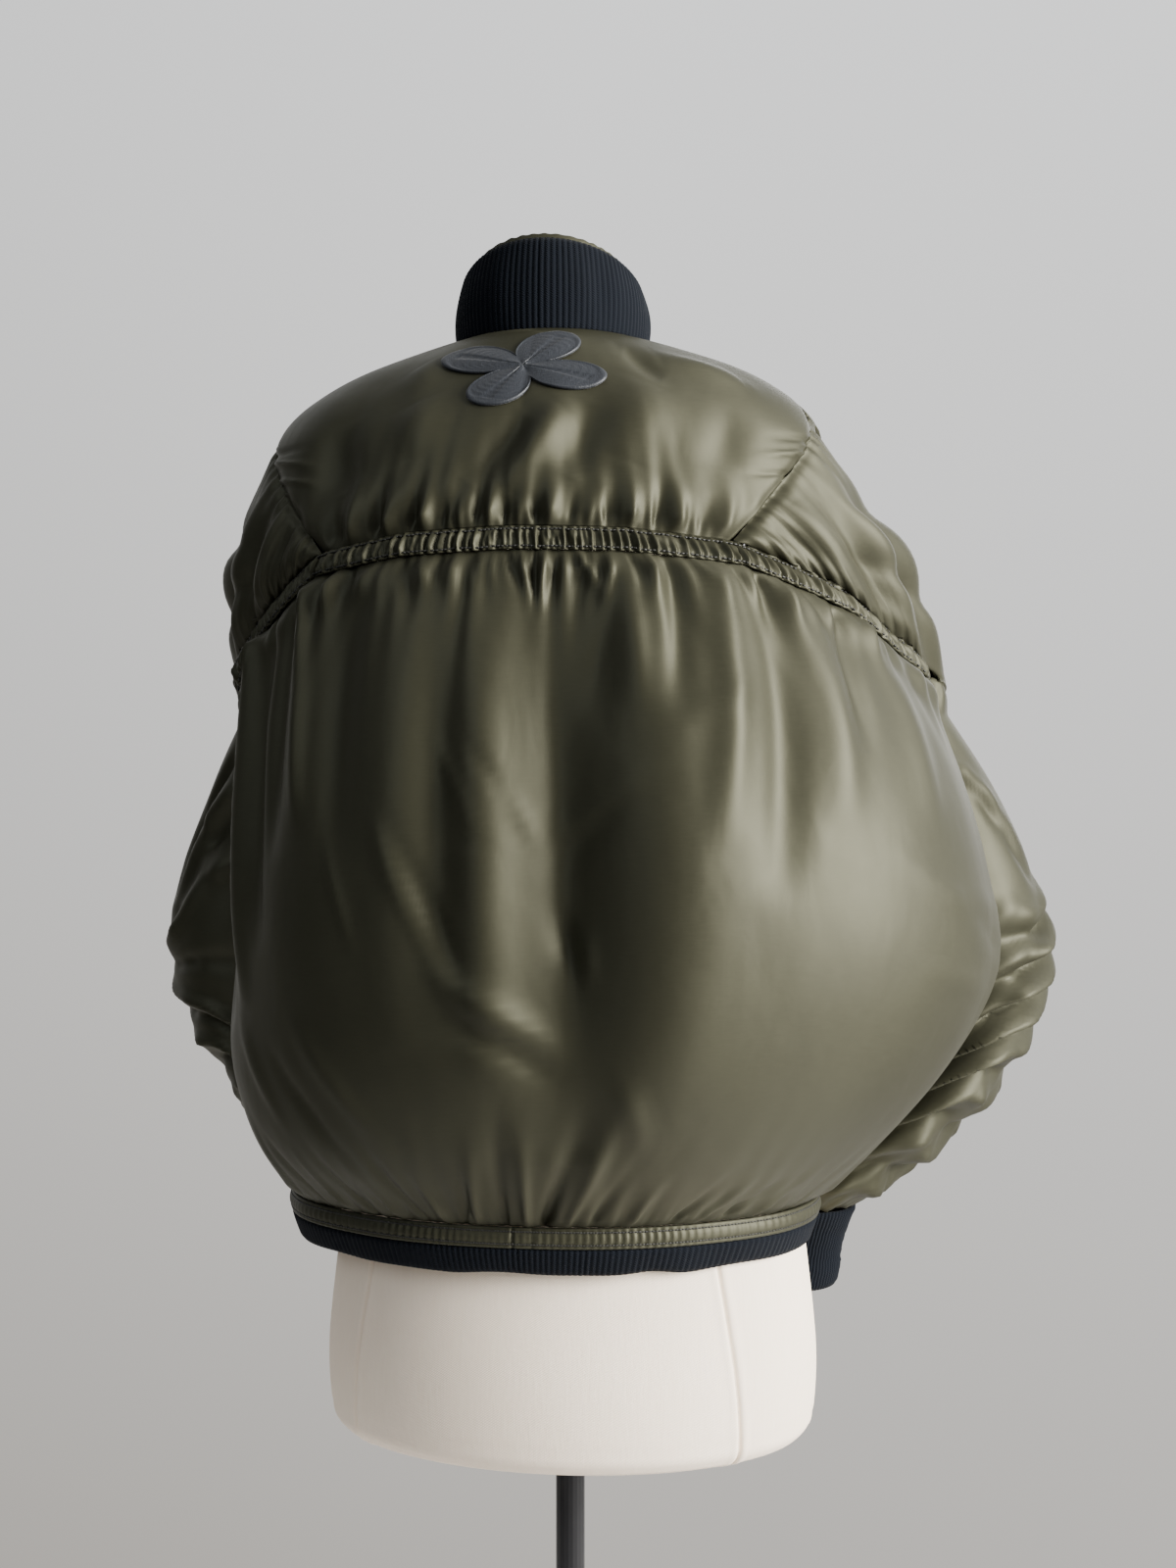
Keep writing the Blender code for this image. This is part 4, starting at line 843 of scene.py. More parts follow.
@dataclass
class Sleeve:
    """One sleeve: a puffed head, a tube that is scrunched towards the cuff, and the ribbed cuff."""

    side: Side
    # Rows from the bottom: height, centre x and y, half width across, half depth
    rows: tuple
    outer_point: tuple[float, float, float]
    # The head's columns along the casing, as (column, angle)
    stops: tuple
    cuff_shift: tuple[float, float]
    # Folds on the tube; the angle goes round the tube, 0 outermost and 90 behind
    folds: tuple
    # Folds on the head; the angle is the head's own column, 0 to 23, and the height is the way down
    # from the armhole, of 130 mm
    head_folds: tuple
    tube_grid: tuple[int, int] = (116, 140)
    head_grid: tuple[int, int] = (150, 50)
    tube_radius: float = 0.058
    head_radius: float = 0.6875
    top: float = 0.990
    bulge: float = 0.030
    clear: float = 0.0030
    cuff_height: float = 0.062
    cuff_ribs: int = 74
    back: GatheredBack = field(default_factory=GatheredBack)
    # The armhole's course as (column, share up): up the front, then down the back
    climb: tuple = ((0.0, -0.193), (2.0, -0.10), (4.0, 0.0), (6.0, 0.12), (8.0, 0.24), (10.0, 0.36),
                    (11.0, 0.50), (12.0, 0.62))
    descent: tuple = ((12.0, 0.62), (15.0, 0.46), (18.0, 0.30), (20.0, 0.16), (22.0, 0.06),
                      (23.0, 0.003))

    def section(self, turn: Array, height: Array) -> tuple[Array, Array]:
        """The tube's ovals, with a corner towards the casing's end at the top.

        Args:
            turn: angles round the tube in degrees, 0 outermost and 90 behind.
            height: the points' heights.

        Returns:
            Centres and points: centre + half sizes times the signed powers of cosine and sine.
        """
        size = rows_at(height, self.rows)
        round_turn = turn % 360.0
        corner = ease((height - 0.87) / 0.11) * ((round_turn > 0) & (round_turn < 90))
        power = 1.0 - 0.4 * corner
        cosine, sine = np.cos(np.radians(turn)), np.sin(np.radians(turn))
        wide = self.side.value * size[..., 2] * np.sign(cosine) * np.abs(cosine) ** power
        deep = (size[..., 3] + 0.014 * corner) * np.sign(sine) * np.abs(sine) ** power
        level = height + 0 * turn
        centre = np.stack([size[..., 0], size[..., 1], level], axis=-1)
        return centre, centre + np.stack([wide, deep, 0 * level], axis=-1)

    def squeeze(self, centre: Array, points: Array) -> Array:
        """Pull a tube in wherever it would touch the body.

        Args:
            centre: the centre of each point's oval.
            points: points of the tube.

        Returns:
            centre + share * (points - centre), the share found by halving between 0.12 and 1.
        """
        low = np.full(points.shape[:-1], 0.12)
        high = np.ones_like(low)

        def clears(share: Array) -> Array:
            """Whether the points at a share stay off the body and its folds."""
            trial = centre + share[..., None] * (points - centre)
            angle, reach = FORM.polar(trial)
            fold = np.maximum(self.back.relief(angle, trial[..., 2]), 0.0)
            fold *= np.abs(angle) < -FORM.right_seam
            return reach > FORM.body_radius(angle, trial[..., 2]) + fold + self.clear

        free = clears(high)
        for _ in range(11):
            middle = (low + high) / 2
            good = clears(middle)
            low, high = np.where(good, middle, low), np.where(good, high, middle)
        return centre + np.where(free, 1.0, low)[..., None] * (points - centre)

    def surface(self, turn: Array, height: Array) -> Array:
        """The tube's points, squeezed off the body, its corner drawn out to the casing's end."""
        points = self.squeeze(*self.section(turn, height))
        at_corner = self.squeeze(*self.section(np.full(1, 45.0), np.full(1, self.top)))[0]
        pull = np.array(self.outer_point[:2]) - at_corner[:2]
        hat = np.clip(1.0 - np.abs((turn + 135.0) % 360.0 - 180.0) / 22.0, 0.0, 1.0)
        fade = ease((height - self.top + 0.030) / 0.030)
        points[..., :2] += (ease(hat) * fade)[..., None] * pull
        return points

    def top_height(self, turn: Array) -> Array:
        """Height of the tube's upper edge: up to the casing's end, then under the back."""
        rise = self.outer_point[2] - self.top
        steps = (0, rise, -0.006, -0.006, 0, 0)
        return self.top + np.interp(turn % 360.0, (0, 45, 60, 165, 180, 360), steps)

    def tube(self) -> Item:
        """The tube from its upper edge to the cuff, its folds laid along its normals."""
        columns, rows = self.tube_grid
        turn, share = np.meshgrid(np.linspace(0, 360, columns, endpoint=False),
                                  np.linspace(0, 1, rows))
        bottom = self.rows[0][0]
        top = self.top_height(turn) - 0.0008
        height = bottom + share * (top - bottom)
        points = self.surface(turn, height)
        middle = points.mean(axis=1, keepdims=True)
        normal = grid_normals(points, points - middle, closed=True)
        turned = (turn + 90.0) % 360.0 - 90.0
        swing = np.radians(turned)
        wander = 0.010 * np.sin(swing * 2.1 + 31 * height) + 0.005 * np.sin(swing * 4.3)
        lift = fold_relief(self.folds, turned, height + wander, self.tube_radius)
        lift *= 1.15 + 0.75 * ripple(turn / 360 + 1.7 * height, 3, 1.3 * self.side.value)
        up = height - bottom
        lift += puckers(turn / 360, up, (0.0020, 19, 1.1, 0.020), (0.0010, 34, 2.6, 0.009))
        lift += edge_roll(up, top - height, depth=0.0020)
        angle, reach = FORM.polar(points)
        lift *= ease((reach - FORM.body_radius(angle, height) - self.clear) / 0.012)
        outer = points + normal * lift[..., None]
        inner = outer - normal * FORM.cloth
        for row in (0, -1):
            level = unit((middle[row] - outer[row]) * (1.0, 1.0, 0.0))
            inner[row] = outer[row] + level * FORM.cloth
        return wall(f"sleeve_satin_{self.side.word}", outer, inner, closed=True)

    def armhole(self, column: Array) -> Array:
        """Points of the armhole's seam: up the front to the tip, then down the back."""
        sign, place = self.side.value, self.side.column
        share = straight(column, self.climb)
        ahead, _ = FORM.front(sign * straight(share, Front.edge, place), share)
        share = straight(column, self.descent)
        behind, _ = FORM.upper(sign * straight(share, Yoke.edge, place), share)
        seam = np.where((column <= 12.0)[:, None], ahead, behind)
        off = np.where(column <= 11.0, -0.0009, 0.0008)[:, None]
        return seam + unit(seam.mean(axis=0) - seam) * off

    def head(self) -> Item:
        """The head: armhole + share * (edge - armhole), swelled by a sine, with its folds."""
        columns, rows = self.head_grid
        column = np.linspace(0.0, 23.0, columns)
        armhole = self.armhole(column)
        turn = (180.0 + 15.0 * column) % 360.0
        ring = self.surface(turn, np.full(columns, self.top))
        ring[:, 2] = self.top_height(np.where(turn > 170, turn, np.minimum(turn, 45.0)))
        angle = straight(column - 16.0, self.stops)
        height = FORM.casing_height(angle)
        seam = FORM.point(angle, FORM.back_radius(angle, height), height + 0.0010)
        joined = np.clip(column - 15.0, 0.0, 1.0)[:, None]
        edge = np.where(joined > 0, np.array(self.outer_point) * (1 - joined) + seam * joined, ring)
        length = np.linalg.norm(edge - armhole, axis=1)
        middle = armhole.mean(axis=0)
        spine = middle - (math.copysign(0.03, middle[0]), 0.0, 0.0)
        outward = unit(((armhole + edge) / 2 - spine) * (1.0, 1.0, 0.0))
        share = (0.5 - 0.5 * np.cos(math.pi * np.linspace(1, 0, rows)))[:, None]
        hump = np.sin(math.pi * share)
        swell = self.bulge * (length / length.max()) ** 0.8
        outer = armhole + (edge - armhole) * share[..., None] + outward * (swell * hump)[..., None]
        outer = soften(outer, hump ** 0.6)
        outer[..., 2] -= 0.010 * np.exp(-column / 0.9) * hump ** 0.7
        normal = grid_normals(outer, outward)
        run = length * share
        low = length - run
        place = column / 23 + 0 * share
        lift = puckers(place, run, (0.0013, 27, 0.9 * self.side.value, 0.022))
        lift *= ease((column - 5) / 4)
        pillow = puckers(place, low, (0.0036, 44, 2.2, 0.024)) + 0.004 * bell(low - 0.018, 0.016)
        lift += pillow * ease((column - 15.5) / 1.5)
        lift += fold_relief(self.head_folds, column + 0 * share, 0.13 * share + 0 * column,
                            self.head_radius)
        rolled = edge_roll(run) * ease((column - 11.5) / 1.5)
        rolled += edge_roll(low, depth=0.0010, width=0.003)
        lift = lift * np.minimum(length / 0.05, 1.0) + rolled * np.minimum(length / 0.02, 1.0)
        outer = outer + normal * lift[..., None]
        thick = (FORM.cloth * np.clip(length / 0.03, 0.3, 1.0))[:, None]
        inner = outer - normal * thick
        inner[0] = outer[0] - unit(normal[0] * (1.0, 1.0, 0.0)) * thick
        inner[-1] = outer[-1] + unit(0.8 * unit(middle - armhole) - normal[-1]) * thick
        return wall(f"sleeve_head_satin_{self.side.word}", outer, inner)

    def cuff(self) -> Item:
        """The ribbed cuff: the tube's last oval, drawn in by a sine and ribbed all round."""
        bottom = self.rows[0][0]
        turn, share = np.meshgrid(np.linspace(0, 360, self.cuff_ribs * 6, endpoint=False),
                                  np.linspace(1, 0, 18))
        centre, section = self.section(turn, np.full(turn.shape, bottom))
        spoke = (self.squeeze(centre, section) - centre)[..., :2]
        reach = np.linalg.norm(spoke, axis=-1, keepdims=True)
        middle = centre[..., :2] + np.array(self.cuff_shift) * share[..., None]
        sag = 0.0010 * ripple(share * 0.5 + turn / 720, 9, 1.2) * np.sin(math.pi * share)
        end = 0.0016 * (bell(share, 0.03) + bell(1 - share, 0.03))
        raised = (ribs(self.cuff_ribs, turn, 0.0011) + sag - end)[..., None]
        drawn = reach * (1.0 - 0.16 * np.sin(math.pi * np.minimum(share, 0.75)))[..., None]
        low = (bottom - 0.0008 - self.cuff_height * share)[..., None]
        sides = [np.concatenate([middle + spoke / reach * (drawn + out), low], axis=-1)
                 for out in (raised, -FORM.cloth)]
        return wall(f"cuff_knit_{self.side.word}", *sides, closed=True)


def ribs(count: int, angle: Array, depth: float = 0.0010) -> Array:
    """Ribs all round: depth times the size of a sine to the power of 0.7."""
    return depth * np.abs(np.sin(math.pi * count * angle / 360.0)) ** 0.7


def left_sleeve() -> Sleeve:
    """The wearer's left sleeve, on the left of the photo."""
    return Sleeve(
        Side.LEFT,
        rows=((0.612, 0.192, -0.126, 0.038, 0.042), (0.650, 0.213, -0.116, 0.047, 0.050),
              (0.690, 0.234, -0.104, 0.055, 0.056), (0.740, 0.254, -0.090, 0.061, 0.060),
              (0.800, 0.264, -0.080, 0.063, 0.062), (0.860, 0.254, -0.080, 0.061, 0.062),
              (0.920, 0.234, -0.082, 0.055, 0.060), (0.972, 0.214, -0.080, 0.046, 0.054)),
        outer_point=(0.254, -0.012, 0.997),
        stops=((0, 83.0), (2, 70.0), (7, 47.8)),
        cuff_shift=(-0.012, -0.010),
        folds=(
        (100, 955, 40, 860, 9, 4), (60, 940, 20, 850, 7, -4.5), (95, 900, 20, 820, 9, -3.5),
        (110, 870, 15, 800, 8, 3.5), (130, 800, 5, 782, 7, -3.5), (120, 742, 0, 762, 7, 4.5),
        (130, 725, -5, 742, 5, -4.5), (120, 702, -10, 722, 6, 5), (120, 686, -10, 702, 5, -4.5),
        (120, 668, -15, 682, 5.5, 4.5), (120, 650, -15, 664, 4.5, -4), (120, 634, -20, 646, 5, 4),
        (-30, 900, -70, 800, 12, 4), (-50, 860, -95, 760, 10, -4), (-40, 760, -100, 720, 7, 4.5),
        (-35, 735, -95, 690, 6, -4.5), (-30, 700, -90, 665, 6, 4), (-40, 670, -100, 645, 5, -3.5),
        ),
        head_folds=(
        (13.5, 15, 14.5, 125, 11, 6), (15.2, 30, 15.6, 128, 8, -7), (16.6, 13, 16.8, 128, 9, 6.5),
        (17.8, 26, 18, 128, 7, -6.5), (18.8, 13, 19.2, 128, 8, 5), (20, 26, 20.2, 128, 6, -4.5),
        (11.5, 20, 12, 117, 12, -5), (9, 13, 9, 117, 14, 4.5), (6.5, 26, 6.5, 117, 12, -4.5),
        (3.5, 26, 3.5, 117, 12, 3.5), (10, 40, 17, 52, 8, -4.5), (11, 100, 17.5, 82, 9, -5.5),
        (10.5, 70, 16, 62, 12, 3),
        ))


def right_sleeve() -> Sleeve:
    """The wearer's right sleeve, on the right of the photo, with its long shiny scrunches."""
    return Sleeve(
        Side.RIGHT,
        rows=((0.590, -0.168, -0.154, 0.038, 0.042), (0.630, -0.208, -0.154, 0.050, 0.050),
              (0.680, -0.250, -0.148, 0.058, 0.057), (0.740, -0.279, -0.140, 0.063, 0.060),
              (0.800, -0.286, -0.132, 0.064, 0.062), (0.860, -0.274, -0.126, 0.062, 0.062),
              (0.920, -0.250, -0.120, 0.058, 0.062), (0.972, -0.222, -0.112, 0.052, 0.058)),
        outer_point=(-0.262, -0.062, 1.000),
        stops=((0, -98.0), (2, -85.0), (4, -73.0), (7, -50.6)),
        cuff_shift=(0.012, 0.000),
        folds=(
        (120, 800, 0, 850, 8, 6), (120, 784, -5, 836, 6, -6.8), (125, 768, -5, 822, 7, 8.2),
        (125, 752, -5, 804, 5.5, -7.5), (130, 738, -10, 788, 6.5, 8.2),
        (130, 722, -10, 772, 5, -7.5), (130, 706, -10, 758, 6, 9), (130, 692, -15, 742, 5, -8.2),
        (130, 678, -15, 728, 5.5, 8.2), (130, 664, -15, 710, 4.8, -7.5),
        (130, 650, -15, 694, 5.5, 8.2), (130, 636, -15, 676, 4.5, -6.8),
        (130, 623, -15, 660, 5, 7.5), (130, 611, -15, 644, 4.2, -6), (130, 601, -15, 628, 4.5, 6),
        (90, 950, 20, 880, 12, 6), (70, 920, 10, 860, 9, -6), (-40, 900, -90, 820, 12, 6),
        (-60, 840, -110, 760, 9, -6.8), (-40, 780, -110, 720, 7, 6.8),
        (-40, 740, -110, 690, 6, -6.8), (-40, 710, -110, 660, 6, 6.8), (-40, 680, -110, 640, 5, -6),
        (-40, 650, -110, 620, 5, 5.2),
        ),
        head_folds=(
        (13, 13, 13.5, 124, 12, 5), (14.6, 26, 15, 128, 9, -6.5), (16, 13, 16.6, 128, 9, 6.5),
        (17.4, 20, 18, 128, 8, -6.5), (18.8, 13, 19.3, 128, 9, 6), (20.4, 26, 20.6, 128, 7, -5),
        (11.5, 20, 12, 117, 12, -4.5), (9, 13, 9, 117, 14, 4.5), (6.5, 26, 6.5, 117, 12, -4.5),
        (3.5, 26, 3.5, 117, 12, 3.5), (9.5, 40, 16.5, 30, 9, -5), (10, 92, 18, 70, 10, -6),
        (11, 60, 17, 54, 14, 3.5),
        ))


# ---- collar, hem and zip

@dataclass
class Ribbing:
    """The knitted collar and hem, the collar's satin facing, and the stitched satin strip."""

    collar_ribs: int = 104
    hem_ribs: int = 236
    band_height: float = 0.014
    rib_height: float = 0.018
    tuck: float = 0.0066
    stitch_rows: tuple = (0.2, 0.8)
    stitch_size: tuple = (0.0024, 0.0009, 0.0008)
    # The satin strip's side joins, as angles
    joins: tuple = (1.2, -4.0)

    def open_round(self, columns: int, radius: float) -> Array:
        """Angles all round but for the zip's width at the front, from the right to the left."""
        end = 180.0 - math.degrees(math.asin(ZIP_HALF / radius))
        return np.linspace(-end, end, columns)

    def collar(self) -> Item:
        """The ribbed stand collar: its form + ribs, rounded over at both edges."""
        angle, share = np.meshgrid(self.open_round(self.collar_ribs * 6 + 1, 0.060),
                                   np.linspace(-0.045, 1, 22))
        slack = 0.0009 * ripple(angle / 360 + 0.5, 7, 0.5) * np.sin(math.pi * share)
        edge = 0.0012 * (bell(share + 0.045, 0.035) + bell(1 - share, 0.03))
        calm = ease((360.0 - 2 * np.abs(angle) - 8) / 6)
        outer = FORM.collar(angle, share, edge - slack - ribs(self.collar_ribs, angle) * calm)
        return wall("collar_knit", outer, FORM.collar(angle, share, FORM.cloth + 0.6 * edge))

    def facing(self) -> Item:
        """The satin facing inside the collar, rolled up a little over its edge."""
        angle, share = np.meshgrid(self.open_round(220, 0.055), np.linspace(0, 1, 12))
        puff = 0.0006 * ripple(angle / 360 + 0.5, 43, 1.0) * share
        sides = [FORM.collar(angle, 0.55 + 0.51 * share, FORM.cloth + under + 0.4 * puff)
                 for under in (0.0009, 0.0024)]
        for side in sides:
            side[..., 2] += puff
        return wall("collar_facing_satin", *sides)

    def band(self) -> Item:
        """The satin strip over the hem rib: puckered, drawn in at its seams and its stitches."""
        angle, share = np.meshgrid(self.open_round(720, FORM.hem_front()), np.linspace(0, 1, 12))
        height = FORM.hem - self.band_height * (1 - share) - 0.0004 * share
        radius = FORM.body_radius(angle, FORM.hem)
        hump = np.sin(math.pi * share)
        lift = 0.0006 * ripple(angle / 360 + 0.5, 176, 0.3) * (0.4 + 0.6 * hump) + 0.0014 * hump
        lift -= sum(0.0007 * bell(share - row, 0.07) for row in self.stitch_rows)
        lift -= sum(0.0014 * bell(angle - join, 0.35) for join in self.joins)
        return round_wall("hem_strip_satin", angle, radius + lift, radius - FORM.cloth, height)

    def band_stitches(self) -> Item:
        """Two rows of stitches round the satin strip."""
        angle = self.open_round(430, FORM.hem_front())
        radius = FORM.body_radius(angle, FORM.hem) + 0.0005
        lines = [FORM.point(angle, radius, FORM.hem - self.band_height * (1 - row))
                 for row in self.stitch_rows]
        return stitches("hem_stitches", lines, self.stitch_size, 0.45)

    def hem(self) -> Item:
        """The ribbed hem: a short knitted band that draws in under the satin strip."""
        angle, share = np.meshgrid(self.open_round(self.hem_ribs * 5 + 1, FORM.hem_front()),
                                   np.linspace(0, 1, 9))
        drop = (self.rib_height + 0.0014 * ripple(angle / 360 + 0.5, 9, 0.8)) * (1 - share)
        height = FORM.hem - self.band_height - 0.0005 - drop
        edge = 0.0012 * (bell(share, 0.06) + bell(1 - share, 0.06))
        radius = FORM.body_radius(angle, FORM.hem) - self.tuck * (1 - share) ** 1.2 - 0.001
        return round_wall("hem_knit", angle, radius + ribs(self.hem_ribs, angle) - edge,
                          radius - FORM.cloth, height)


@dataclass
class Zip:
    """The front zip: two woven tapes and their metal teeth."""

    length: float = 0.66
    pitch: float = 0.0026
    tooth: tuple = (0.0044, 0.0014, 0.0015)
    tape: float = 0.0012
    # Both edges of the left tape, from the middle
    tape_edges: tuple = (0.0062, 0.0004)
    ribbing: Ribbing = field(default_factory=Ribbing)

    def line(self, count: int) -> tuple[Array, Array]:
        """The zip's course up the centre front.

        Args:
            count: how many points along it.

        Returns:
            Evenly spaced points, and unit directions into the jacket.
        """
        front = -FORM.hem_front()
        low = FORM.hem - self.ribbing.band_height
        foot = [(FORM.axis_x, front + 0.003, low - 0.0003 - self.ribbing.rib_height),
                (FORM.axis_x, front + 0.001, low)]
        share = np.concatenate([[-0.999, -0.93, -0.82, -0.64, -0.42, -0.193, -0.10],
                                np.linspace(0, 0.84, 8), [0.92]])
        points, inward = FORM.front(np.full(share.shape, 180.0), share)
        collar = FORM.collar(np.full(4, 180.0), np.array([0.06, 0.4, 0.7, 1.0]))
        points = np.concatenate([foot, points, collar])
        inward = np.concatenate([np.tile((0.0, 1.0, 0.0), (2, 1)), inward,
                                 np.tile((0.0, 1.0, 0.0), (4, 1))])
        travel = np.append(0.0, np.cumsum(np.linalg.norm(np.diff(points, axis=0), axis=1)))
        where = np.linspace(0, travel[-1], count)
        course, face = (np.stack([np.interp(where, travel, values[:, k]) for k in range(3)], axis=1)
                        for values in (points, inward))
        return course + face * 0.0008, unit(face)

    def tapes(self) -> list[Item]:
        """Both woven tapes, the left one first, a thin wall each."""
        points, inward = self.line(240)
        made = []
        for side in Side:
            shift = np.linspace(*self.tape_edges[::side.value], 8) * side.value
            outer = points[:, None] + np.stack([shift, 0 * shift, 0 * shift], axis=-1)[None]
            inner = outer + inward[:, None] * self.tape
            made.append(wall(f"zip_tape_woven_{side.word}", outer, inner))
        return made

    def teeth(self) -> Item:
        """The teeth: small metal blocks that reach over the middle from either tape in turn."""
        count = int(self.length / self.pitch)
        points, inward = self.line(count)
        along = unit(np.gradient(points, axis=0))
        frames = np.stack([np.cross(inward, along), -inward, along], axis=-1)
        reach = np.where(np.arange(count) % 2, 0.0006, -0.0006)[:, None]
        places = points + (1.0, 0.0, 0.0) * reach - inward * 0.0004
        keep = slice(4, -2)
        blocks = tile(block(self.tooth, 0.35), frames[keep], places[keep])
        return new_object("zip_teeth", *blocks, smooth=False)


# ---- blossom and dress form

@dataclass
class Blossom:
    """The plain four-petalled blossom, sewn on the yoke with padded petals."""

    half_width: float = 0.057
    half_height: float = 0.046
    tilt: float = math.radians(24.0)
    centre_share: float = 0.755
    share_per_metre: float = 1 / 0.218
    off: float = 0.0008
    yoke: Yoke = field(default_factory=Yoke)

    def surface(self, turn: Array, reach: Array, lift: Array) -> Array:
        """Points of the blossom on the yoke: a polar outline, laid down by arc and by share."""
        reach = reach * (0.30 + 0.70 * np.abs(np.cos(2 * turn)) ** 0.9)
        across_m = self.half_width * reach * np.cos(turn + self.tilt)
        up = self.half_height * reach * np.sin(turn + self.tilt)
        angle = np.degrees(across_m / (0.105 - up * 0.62)) + 1.5
        points, inward = FORM.upper(angle, self.centre_share + up * self.share_per_metre)
        return points - inward * (lift + self.yoke.relief(angle, points[..., 2]))[..., None]

    def patch(self) -> Item:
        """The blossom: petals padded along their middles, edged with a raised cord of stitches."""
        turn, reach = np.meshgrid(np.linspace(0, FULL_TURN, 256, endpoint=False),
                                  np.linspace(0.03, 1.0, 36))
        petal = np.abs(np.cos(2 * turn))
        pad = 0.0012 * petal ** 1.5 * np.sin(math.pi * reach) ** 0.6
        vein = -0.0007 * bell(1 - petal, 0.012) * (reach < 0.86)
        cord = 0.0007 * bell(reach - 0.955, 0.035)
        bead = 0.0011 * bell(reach, 0.16)
        thread = 0.00016 * np.sin(FULL_TURN * reach * 46 + 3 * np.cos(8 * turn)) * petal
        lift = self.off + 0.0010 + pad + vein + cord + bead + thread
        sides = [self.surface(turn, reach, over) for over in (lift, self.off)]
        return wall("blossom_stitched", *sides, closed=True)


@dataclass
class DressForm:
    """The limbless torso in a linen cover, with its seams, and the cord round its base."""

    bottom: float = 0.455
    neck_top: float = 1.262
    neck_radius: float = 0.050
    rows: int = 150
    shoulder_gap: float = 0.0046
    seam_depth: float = 0.0022
    # Height, shift in x, half width, half depth
    body: tuple = (
        (0.455, 0.000, 0.158, 0.108), (0.460, 0.000, 0.168, 0.117), (0.474, 0.000, 0.1745, 0.1235),
        (0.520, 0.000, 0.1765, 0.126), (0.590, 0.000, 0.1695, 0.120), (0.635, 0.001, 0.1650, 0.116),
        (0.700, 0.002, 0.158, 0.108), (0.800, 0.004, 0.132, 0.096), (0.870, 0.006, 0.122, 0.094),
        (0.950, 0.008, 0.138, 0.106), (1.030, 0.010, 0.136, 0.104), (1.090, 0.012, 0.137, 0.098))
    # Share up the jacket's shoulders, and how far the form stays under their wall
    shoulders: tuple = ((0.34, 0.046), (0.50, 0.034), (0.62, 0.023), (0.74, 0.011), (0.84, 0.003),
                        (0.92, 0.0008), (1.0, 0.003))
    # The cover's seams: angle round at the bottom and at the shoulders
    seams: tuple = ((-48.0, -20.0), (55.0, 24.0), (90.0, 90.0), (-90.0, -90.0), (138.0, 150.0),
                    (-138.0, -150.0))

    def columns_at(self, rise: float) -> Array:
        """The columns' angles at a rise of 0 to 1: they crowd at the seams and lean with them."""
        low, high = np.array(sorted(self.seams)).T
        low, high = np.append(low, low[0] + 360.0), np.append(high, high[0] + 360.0)
        part = np.concatenate([[0.0, 0.35, 0.7, 1.1, 1.6], np.linspace(2.4, 7.0, 5)])
        angle = np.concatenate([
            [*(start + part), *np.arange(start + 8.0, end - 7.5, 1.6), *(end - part[:0:-1])]
            for start, end in zip(low[:-1], low[1:])])
        return np.interp(angle, low, low + (high - low) * rise)

    def rings(self) -> Array:
        """The torso's rings: ovals, then under the jacket's shoulders, then the neck."""
        rings = []
        for height, shift, wide, deep in self.body:
            turn = np.radians(self.columns_at((height - self.bottom) / 0.65))
            rings.append(np.stack([shift + wide * np.sin(turn), deep * np.cos(turn),
                                   np.full_like(turn, height)], axis=1))
        angle = (self.columns_at(1.0) + 180.0) % 360.0 - 180.0
        for share, under in self.shoulders:
            points, inward = FORM.upper(angle, share)
            rings.append(points + inward * (self.shoulder_gap + under))
        for less, height in ((0.0, FORM.neck_height(angle) + 0.004), (0.005, self.neck_top),
                             (0.009, self.neck_top + 0.004)):
            rings.append(FORM.point(angle, self.neck_radius - less, height, FORM.neck_shift))
        return np.array(rings)

    def torso(self) -> Item:
        """The torso: its rings read smoothly, sunk along the cover's seams, capped at both ends."""
        rings = self.rings()
        columns = rings.shape[1]
        place = np.linspace(0, len(rings) - 1, self.rows)
        low = np.floor(np.clip(place, 0, len(rings) - 2)).astype(int)
        part = (place - low)[:, None, None]
        table = np.column_stack([np.arange(len(rings)), rings.reshape(len(rings), -1)])
        smooth = rows_at(place, table).reshape(self.rows, -1, 3)
        level = rings[low] * (1 - part) + rings[low + 1] * part
        keep = ease(place - 11)[:, None, None]
        points = smooth * (1 - keep) + level * keep
        normal = grid_normals(points, points - points.mean(axis=1, keepdims=True), closed=True)
        base = self.columns_at(0.0)
        sink = 0.0010 * bell(points[..., 2] - self.bottom - 0.017, 0.0014)
        for start, _ in self.seams:
            metres = np.radians((base - start + 180.0) % 360.0 - 180.0) * 0.15
            sink += self.seam_depth * bell(metres, 0.0011)
            sink -= 0.0006 * bell(np.abs(metres) - 0.0042, 0.0020)
        points = points - normal * (sink * (points[..., 2] < 1.05))[..., None]
        total = np.concatenate([points.reshape(-1, 3), points[:1].mean(axis=1),
                                points[-1:].mean(axis=1)])
        quads, maps = grid_faces(self.rows, columns), corners(cloth_map(points, True))
        foot = np.arange(columns)
        head = foot + (self.rows - 1) * columns
        lids = np.concatenate([
            np.stack([np.roll(foot, -1), foot, np.full_like(foot, len(total) - 2)], axis=1),
            np.stack([head, np.roll(head, -1), np.full_like(head, len(total) - 1)], axis=1)])
        if signed_volume(total, quads) < 0:
            quads, maps, lids = quads[:, ::-1], maps[:, ::-1], lids[:, ::-1]
        spread = np.concatenate([maps.reshape(-1, 2), np.zeros((lids.size, 2))])
        return new_object("form_linen", total, quads.tolist() + lids.tolist(), spread=spread)


# ---- finishes

